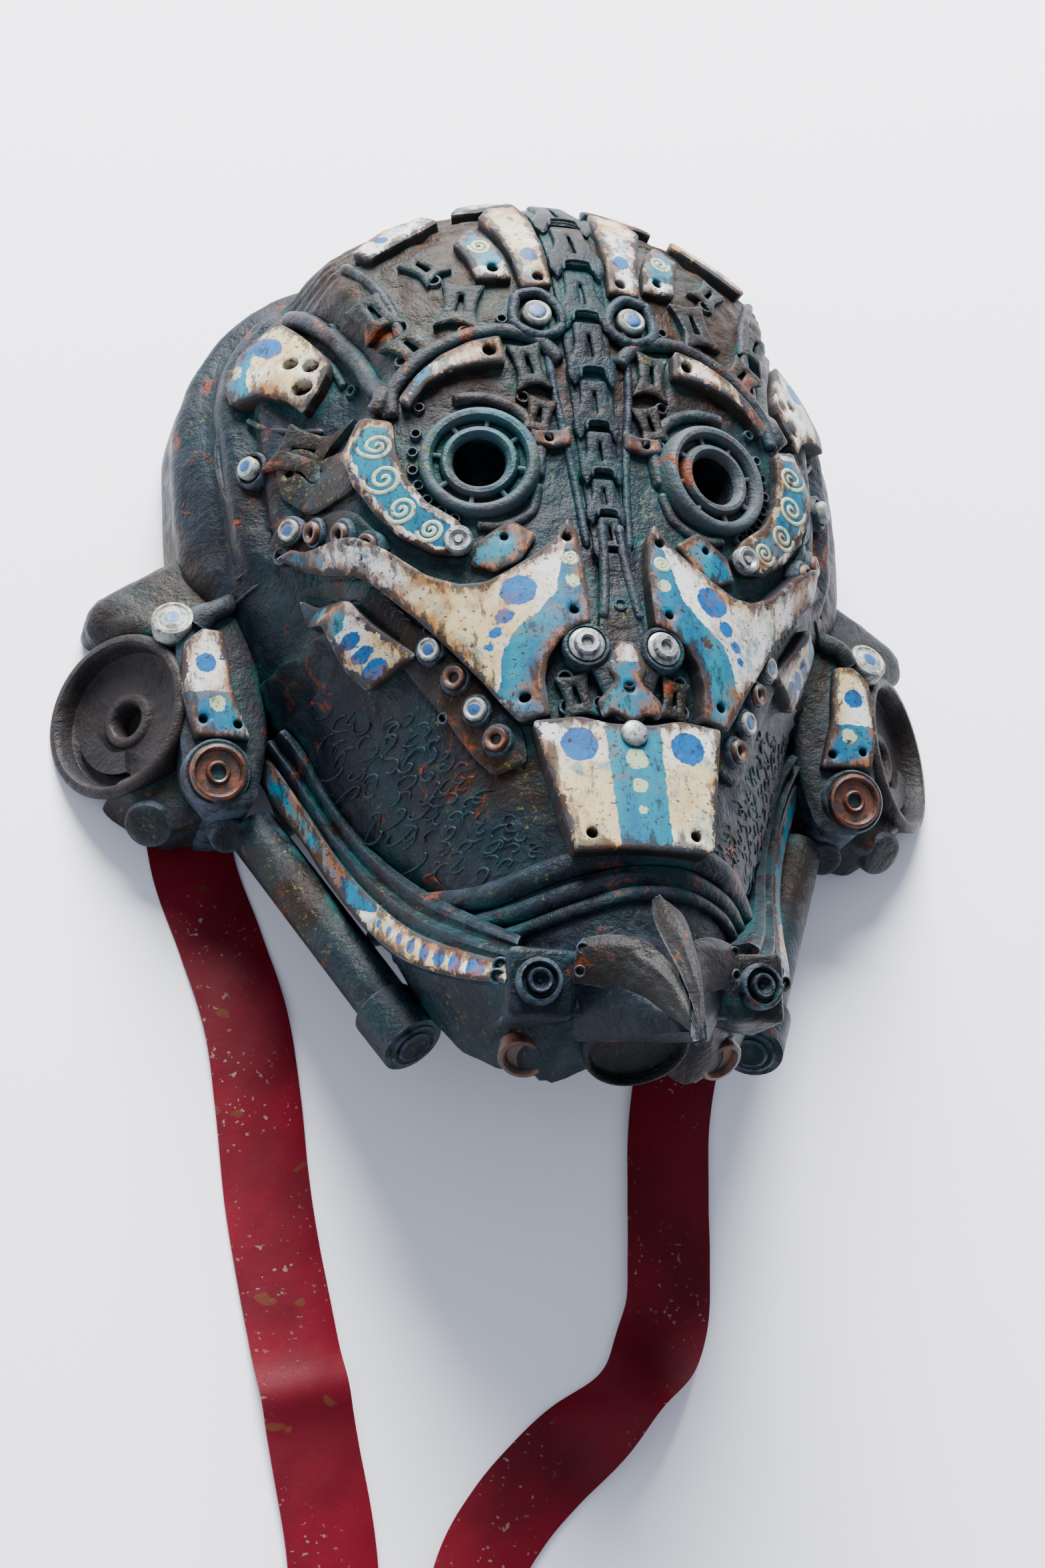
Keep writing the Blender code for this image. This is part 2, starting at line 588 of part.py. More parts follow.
def ribbon(name, collection, places, side):
    """A flat strip along its route on the table, its last leg cut or drawn out to the full length."""
    route = smooth_path([Vector((side * x, y, 0)) * U for x, y in places], RIBBON_STATIONS)
    middle = [route[0]]
    left = RIBBON_LENGTH
    for a, b in zip(route, route[1:]):
        leg = (b - a).length
        if b is route[-1] or leg > left:
            middle.append(a + (b - a) * (left / leg))
            break
        middle.append(b)
        left -= leg
    bm = bmesh.new()
    rings = []
    for i, p in enumerate(middle):
        ahead = middle[min(i + 1, len(middle) - 1)] - middle[max(i - 1, 0)]
        across = Vector((-ahead.y, ahead.x, 0)).normalized() * RIBBON_WIDTH / 2
        low = p + Vector((0, 0, RIBBON_LIFT))
        high = low + Vector((0, 0, RIBBON_THICKNESS))
        rings.append([low - across, low + across, high + across, high - across])
    bridge_rings(bm, rings)
    return add_mesh(name, bm, collection)


def mirror_sides(collection, middle):
    """The other side's copy of every piece that isn't on the middle line."""
    for source in list(collection.objects):
        if source.name.startswith(middle):
            continue
        bm = bmesh.new()
        bm.from_mesh(source.data)
        bmesh.ops.scale(bm, vec=(-1, 1, 1), verts=bm.verts)
        add_mesh(source.name + "_other", bm, collection)


def combine(target, collection, operation):
    cut = target.modifiers.new(operation.lower(), "BOOLEAN")
    cut.operand_type = "COLLECTION"
    cut.collection = collection
    cut.operation = operation
    cut.solver = "EXACT"
    return cut


def close_short_edges(bm, shortest):
    """Merge the ends of very short edges, wherever that keeps the skin closed."""
    changed = True
    while changed:
        changed = False
        for edge in sorted(bm.edges, key=lambda e: e.calc_length()):
            if not edge.is_valid:
                continue
            if edge.calc_length() > shortest:
                break
            a, b = edge.verts
            shared = {e.other_vert(a) for e in a.link_edges} & {e.other_vert(b) for e in b.link_edges}
            if len(edge.link_faces) == 2 and len(shared) == 2:
                bmesh.ops.pointmerge(bm, verts=[a, b], merge_co=(a.co + b.co) / 2)
                changed = True


def drop_twin_faces(bm):
    """Take out pairs of triangles that lie back to back on the same three corners."""
    seen = {}
    twins = []
    for face in bm.faces:
        corners = frozenset(face.verts)
        if corners in seen:
            twins += [seen.pop(corners), face]
        else:
            seen[corners] = face
    bmesh.ops.delete(bm, geom=twins, context="FACES")


def join_casting(mask):
    """The casting as one mesh, without closed-off specks and with its flattest edges taken out."""
    graph = bpy.context.evaluated_depsgraph_get()
    joined = bpy.data.meshes.new_from_object(mask.evaluated_get(graph))
    mask.modifiers.clear()
    mask.data = joined
    bm = bmesh.new()
    bm.from_mesh(joined)
    bmesh.ops.triangulate(bm, faces=bm.faces)
    drop_twin_faces(bm)
    close_short_edges(bm, SHORTEST_EDGE)
    islands = []
    unseen = set(bm.verts)
    while unseen:
        stack = [unseen.pop()]
        island = set(stack)
        while stack:
            for edge in stack.pop().link_edges:
                for v in edge.verts:
                    if v not in island:
                        island.add(v)
                        stack.append(v)
        unseen -= island
        islands.append(island)
    body = max(islands, key=len)
    bmesh.ops.delete(bm, geom=[v for v in bm.verts if v not in body], context="VERTS")
    bm.to_mesh(joined)
    bm.free()
    thinned = mask.modifiers.new("thinned", "DECIMATE")
    thinned.ratio = KEPT_TRIANGLES
    thinned.use_collapse_triangulate = True


def main():
    clear_scene()
    parts = new_collection("robot_mask")
    bulk = new_collection("mask_bulk")
    relief = new_collection("mask_relief")
    cutters = new_collection("cutters")

    rim = RIM_LEVEL * U
    mask = dome("mask", parts, 0.0, rim, 24, 8)
    mask.data.materials.append(make_material("patinated_casting", (0.07, 0.075, 0.08), 0.42, 0.55))

    brow_and_crown(relief)
    spine(relief)
    eyes(bulk, relief, cutters)
    cheeks(relief)
    nose_plate(relief)
    jaw(bulk, relief)
    beak(bulk, relief)
    pods(bulk, relief)
    pod_hollow(cutters)
    helmet_ridges(relief)

    dome("hollow", cutters, -WALL, rim - 0.002, 16, 5)
    block = RESTING_BLOCK
    box("table_trim", cutters, Vector((0, 0, rim - block / 2)), (2 * block, 2 * block, block))
    depth = 100 * U
    tilt = Matrix.Rotation(JAW_TRIM_TURN, 4, "X")
    low_edge = Vector((0, -24, 6)) * U
    box("jaw_trim", cutters, low_edge + tilt @ Vector((0, -depth / 2, -depth / 2)),
        (2 * JAW_TRIM_HALF_WIDTH * U, depth * 1.4, depth), tilt)

    mirror_sides(bulk, ("chin", "speaker"))
    mirror_sides(relief, ("spine_link", "nose", "lip", "beak"))
    mirror_sides(cutters, ("hollow", "table", "jaw", "left", "right"))
    combine(mask, bulk, "UNION")
    combine(mask, cutters, "DIFFERENCE")
    combine(mask, relief, "UNION")
    join_casting(mask)
    centre_y = (CROWN_Y + BEAK_TIP_Y) / 2 * U
    mask.location = (0, -centre_y, -rim)

    satin = make_material("crimson_satin", (0.24, 0.008, 0.03), 0.35, 0.0)
    routes = {
        "ribbon_left": (-1, LEFT_ROUTE),
        "ribbon_right": (1, RIGHT_ROUTE),
    }
    for name, (side, places) in routes.items():
        strip = ribbon(name, parts, places, side)
        strip.data.materials.append(satin)
        strip.location.y = -centre_y


if __name__ == "__main__":
    main()
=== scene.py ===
# Robot mask: one cast shell dressed with enamel plates, bolts and rings,
# lying face up on a pale table with its two crimson ribbons.
import math

import bmesh
import bpy
import numpy as np
from mathutils import Matrix, Vector


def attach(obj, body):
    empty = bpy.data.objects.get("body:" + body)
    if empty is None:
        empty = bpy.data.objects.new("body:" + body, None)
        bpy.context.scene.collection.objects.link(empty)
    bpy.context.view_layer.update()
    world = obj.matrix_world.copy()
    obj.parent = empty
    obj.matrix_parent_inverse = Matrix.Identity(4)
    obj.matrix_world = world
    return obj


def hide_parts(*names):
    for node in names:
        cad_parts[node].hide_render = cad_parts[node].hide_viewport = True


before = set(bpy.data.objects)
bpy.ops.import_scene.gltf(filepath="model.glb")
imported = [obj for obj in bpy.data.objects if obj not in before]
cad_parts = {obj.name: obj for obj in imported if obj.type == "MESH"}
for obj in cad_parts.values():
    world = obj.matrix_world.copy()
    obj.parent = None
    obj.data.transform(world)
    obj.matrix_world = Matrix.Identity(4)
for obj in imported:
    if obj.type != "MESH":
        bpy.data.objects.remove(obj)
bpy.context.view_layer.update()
print("frame loaded")

mm = 0.001
middleY = 25.5      # middle of the mask along Y, in face millimetres
rimLift = 7.0       # the rear rim lies this far below the face's zero level
rng = np.random.default_rng(7)

# Camera: looking down on the mask, from a little to its right and below
cameraView = {
    "turn": ((0.9579, -0.0438, -0.2838), (-0.0644, 0.9304, -0.3609), (0.2798, 0.364, 0.8884)),
    "place": (-0.2413, -0.3316, 0.7707),
    "lens": 65,
}


def makeCamera():
    data = bpy.data.cameras.new("photoCamera")
    data.lens = cameraView["lens"]
    data.sensor_fit = "VERTICAL"
    data.sensor_height = 36
    camera = bpy.data.objects.new("photoCamera", data)
    bpy.context.scene.collection.objects.link(camera)
    camera.matrix_world = Matrix.Translation(cameraView["place"]) @ Matrix(cameraView["turn"]).to_4x4()
    bpy.context.scene.camera = camera


makeCamera()

# Form of the face, in millimetres: profiles along Y
face = {
    "chinY": -112,
    "crownY": 168,
    "rimY": -7,
    "wall": 4.5,
    "crest": [(-112, 84), (-106, 98), (-96, 103), (-30, 104), (0, 104), (30, 101), (60, 98), (90, 97),
              (110, 95), (131, 90), (148, 81), (160, 70), (168, 54)],
    "temple": [(-112, 84), (-106, 98), (-96, 103), (-30, 104), (0, 101), (25, 96), (60, 90), (90, 89),
               (110, 84), (131, 74), (148, 62), (160, 52), (168, 40)],
    "halfWidth": [(-112, 34), (-104, 44), (-90, 50), (-65, 54), (-42, 61.5), (-15, 71.5), (0, 77),
                  (20, 87), (40, 97), (60, 104), (80, 106), (100, 106), (118, 102), (134, 94),
                  (147, 81), (157, 64), (164, 43), (168, 22)],
    "browArc": [(20, 76), (30, 66), (45, 69), (60, 70), (78, 64), (92, 58), (105, 60), (118, 65),
                (130, 70), (142, 70), (152, 60), (168, 36)],
    "browFullness": [(-112, 2.1), (10, 2.1), (60, 2.5), (110, 2.15), (168, 2.3)],
    "templeFullness": 1.85,
    "browStep": 9,
    "jawTrim": (-24, 6, 38),    # a point of the jaw's cut and its slope in degrees
}


def curve(y, knots):
    # Smooth curve through the knots, for an array of y
    ys = np.array([k[0] for k in knots], float)
    vs = np.array([k[1] for k in knots], float)
    steps = np.diff(vs) / np.diff(ys)
    slopes = np.empty(len(ys))
    slopes[0], slopes[-1] = steps[0], steps[-1]
    a, b = steps[:-1], steps[1:]
    with np.errstate(divide="ignore", invalid="ignore"):
        slopes[1:-1] = np.where(a * b > 0, 2 * a * b / (a + b), 0)
    y = np.clip(y, ys[0], ys[-1])
    i = np.clip(np.searchsorted(ys, y) - 1, 0, len(ys) - 2)
    span = ys[i + 1] - ys[i]
    t = (y - ys[i]) / span
    return ((2 * t ** 3 - 3 * t ** 2 + 1) * vs[i] + (t ** 3 - 2 * t ** 2 + t) * span * slopes[i]
            + (3 * t ** 2 - 2 * t ** 3) * vs[i + 1] + (t ** 3 - t ** 2) * span * slopes[i + 1])


def sectionHeight(x, y, top, fullness):
    share = np.clip(np.abs(x) / curve(y, face["halfWidth"]), 0, 1)
    return top * (1 - share ** fullness) ** (1 / fullness)


def heightAt(x, y):
    x, y = np.asarray(x, float), np.asarray(y, float)
    brow = sectionHeight(x, y, curve(y, face["crest"]), curve(y, face["browFullness"]))
    temple = sectionHeight(x, y, curve(y, face["temple"]), face["templeFullness"])
    t = np.clip((np.abs(x) - curve(y, face["browArc"])) / face["browStep"] + 0.5, 0, 1)
    t = t * t * (3 - 2 * t)
    return np.where(y < face["browArc"][0][0], brow, brow * (1 - t) + temple * t)


def normalAt(x, y):
    h = 4
    slopeX = np.clip((heightAt(x + h, y) - heightAt(x - h, y)) / (2 * h), -3, 3)
    slopeY = np.clip((heightAt(x, y + h) - heightAt(x, y - h)) / (2 * h), -3, 3)
    n = np.stack([-slopeX, -slopeY, np.ones_like(slopeX)], -1)
    return n / np.linalg.norm(n, axis=-1, keepdims=True)


def skinAt(x, y, proud=0.0):
    x, y = np.asarray(x, float), np.asarray(y, float)
    proud = np.asarray(proud, float)
    return np.stack([x, y, heightAt(x, y)], -1) + normalAt(x, y) * proud[..., None]


def toWorld(points):
    return (np.asarray(points, float) + [0, -middleY, rimLift]) * mm


def lumps(x, y, size, seed=0):
    # Soft random hills between -1 and 1, about size apart
    u, v = np.asarray(x) / size + seed * 17.3, np.asarray(y) / size - seed * 9.1
    iu, iv = np.floor(u), np.floor(v)
    fu, fv = u - iu, v - iv
    fu, fv = fu * fu * (3 - 2 * fu), fv * fv * (3 - 2 * fv)

    def corner(a, b):
        return np.modf(np.abs(np.sin(a * 127.1 + b * 311.7 + seed * 5.3) * 43758.5453))[0] * 2 - 1
    low = corner(iu, iv) * (1 - fu) + corner(iu + 1, iv) * fu
    high = corner(iu, iv + 1) * (1 - fu) + corner(iu + 1, iv + 1) * fu
    return low * (1 - fv) + high * fv


def segmentDistance(x, y, points, closed=True):
    # Shortest distance of each (x, y) to a line through points
    pts = np.asarray(points, float)
    ends = np.roll(pts, -1, 0) if closed else pts[1:]
    starts = pts if closed else pts[:-1]
    best = np.full(np.shape(x), 1e9)
    for a, b in zip(starts, ends):
        d = b - a
        t = np.clip(((x - a[0]) * d[0] + (y - a[1]) * d[1]) / max(d @ d, 1e-9), 0, 1)
        best = np.minimum(best, np.hypot(x - a[0] - t * d[0], y - a[1] - t * d[1]))
    return best


def insidePolygon(x, y, points):
    pts = np.asarray(points, float)
    hit = np.zeros(np.shape(x), bool)
    for (ax, ay), (bx, by) in zip(pts, np.roll(pts, -1, 0)):
        if ay != by:
            hit ^= ((ay > y) != (by > y)) & (x < (bx - ax) * (y - ay) / (by - ay) + ax)
    return hit


def signedDistance(x, y, points):
    d = segmentDistance(x, y, points)
    return np.where(insidePolygon(x, y, points), -d, d)


# Pieces are gathered in groups of points, faces and painted distances, then made into meshes
paintNames = ("edge", "teal", "blue", "cream", "worn")
farAway = 9.0       # paint distance of a vertex far from any painted area
bareEdge = -2.0     # edge distance that leaves a plate's side bare


def newGroup():
    return {"points": [], "faces": [], "count": 0, **{name: [] for name in paintNames}}


def addTo(group, points, faces, paint=None, mirrored=False):
    # Adds a piece given in face millimetres, and its mirror image where it has one
    points = np.asarray(points, float)
    paint = paint or {}
    for flip in ((1, -1) if mirrored else (1,)):
        group["points"].append(points * [flip, 1, 1])
        base = group["count"]
        for f in faces:
            ids = [base + k for k in f]
            group["faces"].append(ids if flip == 1 else ids[::-1])
        group["count"] += len(points)
        for name in paintNames:
            values = paint.get(name)
            group[name].append(np.full(len(points), farAway) if values is None
                               else np.broadcast_to(values, len(points)))


def makePiece(name, group, material, smoothAngle=40):
    mesh = bpy.data.meshes.new(name)
    points = np.concatenate(group["points"])
    points[:, 2] = np.maximum(points[:, 2], face["rimY"])
    mesh.from_pydata(toWorld(points).tolist(), [], group["faces"])
    for paintName in paintNames:
        layer = mesh.attributes.new(paintName, "FLOAT", "POINT")
        layer.data.foreach_set("value", np.concatenate(group[paintName]).astype(np.float32))
    bm = bmesh.new()
    bm.from_mesh(mesh)
    bmesh.ops.recalc_face_normals(bm, faces=bm.faces)
    limit = math.radians(smoothAngle)
    for edge in bm.edges:
        edge.smooth = len(edge.link_faces) == 2 and edge.calc_face_angle(0) < limit
    for f in bm.faces:
        f.smooth = True
    bm.to_mesh(mesh)
    bm.free()
    obj = bpy.data.objects.new(name, mesh)
    bpy.context.scene.collection.objects.link(obj)
    mesh.materials.append(material)
    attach(obj, "root")
    return obj


def offsetLoop(points, distance):
    # The loop moved inwards by distance, corner by corner
    pts = np.asarray(points, float)
    area = np.sum(pts[:, 0] * np.roll(pts[:, 1], -1) - np.roll(pts[:, 0], -1) * pts[:, 1])
    sign = 1 if area > 0 else -1
    before = pts - np.roll(pts, 1, 0)
    after = np.roll(pts, -1, 0) - pts
    before /= np.linalg.norm(before, axis=1, keepdims=True) + 1e-9
    after /= np.linalg.norm(after, axis=1, keepdims=True) + 1e-9
    normalA = np.stack([-before[:, 1], before[:, 0]], 1)
    normalB = np.stack([-after[:, 1], after[:, 0]], 1)
    mid = normalA + normalB
    mid /= np.linalg.norm(mid, axis=1, keepdims=True) + 1e-9
    stretch = 1 / np.clip(np.sum(mid * normalA, 1), 0.6, 1)
    return pts + mid * (sign * distance * stretch)[:, None]


def roundLoop(points, radius=1.2):
    # The loop with its corners eased
    pts = np.asarray(points, float)
    eased = []
    for i in range(len(pts)):
        p, a, b = pts[i], pts[i - 1], pts[(i + 1) % len(pts)]
        cutA = min(radius / max(np.linalg.norm(a - p), 1e-6), 0.4)
        cutB = min(radius / max(np.linalg.norm(b - p), 1e-6), 0.4)
        start, end = p + (a - p) * cutA, p + (b - p) * cutB
        eased += [start, (start + end) / 4 + p / 2, end]
    return np.array(eased)


plateEdge = {"insets": (0.35, 0.9), "drop": 0.5, "width": 0.9}


def plateMesh(outline, proud, holes=(), step=1.3, sink=2.5, top=None, ease=1.2):
    # A raised plate laid over the skin, with eased edges and real holes
    outer = roundLoop(outline, ease)
    bm = bmesh.new()

    def ringOf(points):
        return [bm.verts.new((p[0], p[1], 0)) for p in points]

    def bridge(ringA, ringB):
        for i in range(len(ringA)):
            j = (i + 1) % len(ringA)
            bm.faces.new((ringA[i], ringA[j], ringB[j], ringB[i]))

    def edgesOf(ring):
        return [bm.edges.get((ring[i], ring[(i + 1) % len(ring)])) for i in range(len(ring))]

    rings = [ringOf(outer)] + [ringOf(offsetLoop(outer, inset)) for inset in plateEdge["insets"]]
    for a, b in zip(rings, rings[1:]):
        bridge(a, b)
    fillEdges = edgesOf(rings[-1])
    for hole in holes:
        inner = ringOf(hole)
        around = ringOf(offsetLoop(hole, -plateEdge["insets"][0]))
        bridge(inner, around)
        fillEdges += edgesOf(around)
    bmesh.ops.triangle_fill(bm, edges=fillEdges, use_beauty=True)
    for axis in (0, 1):
        low, high = outer[:, axis].min(), outer[:, axis].max()
        for k in range(1, int((high - low) / step)):
            place = [0, 0, 0]
            place[axis] = low + k * step
            bmesh.ops.bisect_plane(bm, geom=bm.verts[:] + bm.edges[:] + bm.faces[:], dist=0.02,
                                   plane_co=place, plane_no=(1 - axis, axis, 0))
    bmesh.ops.triangulate(bm, faces=[f for f in bm.faces if len(f.verts) > 4])
    bm.verts.index_update()
    flat = np.array([v.co[:2] for v in bm.verts])
    x, y = flat[:, 0], flat[:, 1]
    edge = segmentDistance(x, y, outer)
    rim = edge
    for hole in holes:
        rim = np.minimum(rim, segmentDistance(x, y, hole))
    drop = plateEdge["drop"] * (1 - np.clip(rim / plateEdge["width"], 0, 1)) ** 2
    if top is None:
        upper = skinAt(x, y, proud - drop + 0.06 * lumps(x, y, 2.5, 3))
    else:
        upper = np.stack([x, y, top(x, y) - drop], -1)
    lower = skinAt(x, y, -sink)
    faces = [[v.index for v in f.verts] for f in bm.faces]
    borders = [[v.index for v in e.verts] for e in bm.edges if len(e.link_faces) == 1]
    bm.free()
    count = len(upper)
    used = sorted({v for e in borders for v in e})
    mate = {v: count + i for i, v in enumerate(used)}
    points = np.concatenate([upper, lower[used]])
    faces += [[a, b, mate[b], mate[a]] for a, b in borders]
    flatAll = np.concatenate([flat, flat[used]])
    edgeAll = np.concatenate([edge, np.full(len(used), bareEdge)])
    return points, faces, flatAll, edgeAll


def dotDistance(x, y, dotX, dotY, radius, stretch=1.0, lean=0.0):
    # Distance to a round dot, or to an oval drawn out by stretch along a line leaning by lean degrees
    c, s = math.cos(math.radians(lean)), math.sin(math.radians(lean))
    along, across = (x - dotX) * s + (y - dotY) * c, (x - dotX) * c - (y - dotY) * s
    return np.hypot(along / stretch, across) - radius


def paintFor(flat, edge, teal=(), blue=(), cream=()):
    # Distances in millimetres to a plate's painted areas: regions as loops, dots as (x, y, radius)
    x, y = flat[:, 0], flat[:, 1]
    paint = {"edge": edge}
    if len(teal):
        paint["teal"] = np.min([signedDistance(x, y, loop) for loop in teal], axis=0)
    for name, dots in (("blue", blue), ("cream", cream)):
        if len(dots):
            paint[name] = np.min([dotDistance(x, y, *dot) for dot in dots], axis=0)
    return paint


def loopFaces(rows, sides):
    # Faces between stacked closed loops of points, with a cap at both ends
    faces = []
    for k in range(rows - 1):
        for i in range(sides):
            j = (i + 1) % sides
            faces.append([k * sides + i, k * sides + j, (k + 1) * sides + j, (k + 1) * sides + i])
    faces.append(list(range(sides))[::-1])
    faces.append([(rows - 1) * sides + i for i in range(sides)])
    return faces


def lathePoints(section, sides):
    # Rings of a turned piece about Z, from (radius, height) points
    turn = [2 * math.pi * i / sides for i in range(sides)]
    points = [(radius * math.cos(a), radius * math.sin(a), height)
              for radius, height in section for a in turn]
    return np.array(points, float), loopFaces(len(section), sides)


def turnedRing(section, sides):
    # A turned piece with a hole, whose section closes on itself
    points, faces = lathePoints(section, sides)
    last = (len(section) - 1) * sides
    faces[-2:] = [[last + i, last + (i + 1) % sides, (i + 1) % sides, i] for i in range(sides)]
    return points, faces


def frameAt(place, normal):
    turn = Vector((0, 0, 1)).rotation_difference(Vector(normal).normalized()).to_matrix()
    return np.array(turn), np.asarray(place, float)


def seated(points, seatFrame):
    return points @ seatFrame[0].T + seatFrame[1]


def skinFrame(x, y, proud=0.0):
    return frameAt(skinAt(x, y, proud), normalAt(np.float64(x), np.float64(y)))


def addTurned(group, section, seatFrame, sides=28, dot=None, mirrored=True):
    # A turned piece. dot paints a blue middle of that radius
    local, faces = lathePoints(section, sides)
    paint = None if dot is None else {"blue": np.hypot(local[:, 0], local[:, 1]) - dot}
    addTo(group, seated(local, seatFrame), faces, paint, mirrored)


def smoothPath(points, count):
    pts = np.asarray(points, float)
    out = []
    for t in np.linspace(0, len(pts) - 1, count):
        i = min(int(t), len(pts) - 2)
        t -= i
        p0, p1, p2, p3 = pts[max(i - 1, 0)], pts[i], pts[i + 1], pts[min(i + 2, len(pts) - 1)]
        out.append(0.5 * (2 * p1 + (p2 - p0) * t + (2 * p0 - 5 * p1 + 4 * p2 - p3) * t * t
                          + (3 * p1 - p0 - 3 * p2 + p3) * t ** 3))
    return np.array(out)


def tubeMesh(path, radii, sides=10, flatten=1.0, ups=None):
    # A ridge along a path of points, its section flattened along ups
    path = np.asarray(path, float)
    ahead = np.gradient(path, axis=0)
    ahead /= np.linalg.norm(ahead, axis=1, keepdims=True)
    if ups is None:
        ups = np.tile([0.0, 0.0, 1.0], (len(path), 1))
    across = np.cross(ahead, ups)
    across /= np.linalg.norm(across, axis=1, keepdims=True) + 1e-9
    ups = np.cross(across, ahead)
    radii = np.broadcast_to(radii, len(path))
    angles = np.linspace(0, 2 * np.pi, sides, endpoint=False)
    ring = (across[:, None] * np.cos(angles)[None, :, None]
            + ups[:, None] * np.sin(angles)[None, :, None] * flatten) * radii[:, None, None]
    return (path[:, None] + ring).reshape(-1, 3), loopFaces(len(path), sides)


def skinPath(places, count, lift=0.0):
    flat = smoothPath(places, count)
    return skinAt(flat[:, 0], flat[:, 1], lift), normalAt(flat[:, 0], flat[:, 1])


def addRidge(group, places, radius, count=40, lift=0.0, flatten=1.0, mirrored=True):
    # A ridge that follows the skin through (x, y) places, thinner at both ends
    path, normals = skinPath(places, count, lift)
    ends = np.clip(np.minimum(np.arange(count), np.arange(count)[::-1]) * 0.5 + 0.35, 0.35, 1)
    points, faces = tubeMesh(path, radius * ends, 10, flatten, normals)
    addTo(group, points, faces, mirrored=mirrored)


def addPlate(group, outline, proud, mirrored=True, teal=(), blue=(), cream=(), **more):
    points, faces, flat, edge = plateMesh(outline, proud, **more)
    addTo(group, points, faces, paintFor(flat, edge, teal, blue, cream), mirrored)


def circle(x, y, radius, sides=14):
    return [(x + radius * math.cos(2 * math.pi * i / sides),
             y + radius * math.sin(2 * math.pi * i / sides))
            for i in range(sides)]


def hullMesh(points, ease, rough, seed, segments=3):
    # A convex block with eased edges and a slightly uneven cast surface
    bm = bmesh.new()
    for p in points:
        bm.verts.new(p)
    bmesh.ops.convex_hull(bm, input=bm.verts)
    bmesh.ops.delete(bm, geom=[v for v in bm.verts if not v.link_faces], context="VERTS")
    bmesh.ops.dissolve_limit(bm, angle_limit=math.radians(2), verts=bm.verts, edges=bm.edges)
    sharp = [e for e in bm.edges if len(e.link_faces) == 2 and e.calc_face_angle(0) > math.radians(12)]
    bmesh.ops.bevel(bm, geom=sharp, offset=ease, segments=segments, profile=0.5, affect="EDGES",
                    clamp_overlap=True)
    bmesh.ops.triangulate(bm, faces=bm.faces)
    for _ in range(3):
        longEdges = [e for e in bm.edges if e.calc_length() > 3.0]
        if longEdges:
            bmesh.ops.subdivide_edges(bm, edges=longEdges, cuts=1)
            bmesh.ops.triangulate(bm, faces=bm.faces)
    bm.normal_update()
    for v in bm.verts:
        wave = lumps(v.co.x + v.co.z, v.co.y - v.co.z, 5, seed)
        wave = wave + 0.5 * lumps(v.co.x - v.co.z, v.co.y, 2, seed + 1)
        v.co += v.normal * float(wave) * rough
    bm.verts.index_update()
    out = np.array([v.co[:] for v in bm.verts])
    faces = [[v.index for v in f.verts] for f in bm.faces]
    bm.free()
    return out, faces


# Materials
palette = {
    "slate": (0.0040, 0.0072, 0.0125),
    "bronze": (0.0125, 0.0072, 0.0052),
    "crownBrown": (0.021, 0.0105, 0.0055),
    "paintedShade": (0.0008, 0.0010, 0.0014),
    "verdigris": (0.0060, 0.050, 0.054),
    "moss": (0.085, 0.105, 0.020),
    "rust": (0.15, 0.028, 0.004),
    "scuffAndHighlight": (0.055, 0.075, 0.105),
    "cream": (0.36, 0.29, 0.155),
    "white": (0.42, 0.42, 0.42),
    "teal": (0.0, 0.060, 0.125),
    "seafoam": (0.003, 0.120, 0.170),
    "blue": (0.0, 0.048, 0.160),
    "ochre": (0.145, 0.048, 0.006),
    "umber": (0.013, 0.006, 0.003),
    "crimson": (0.110, 0.0012, 0.009),
}


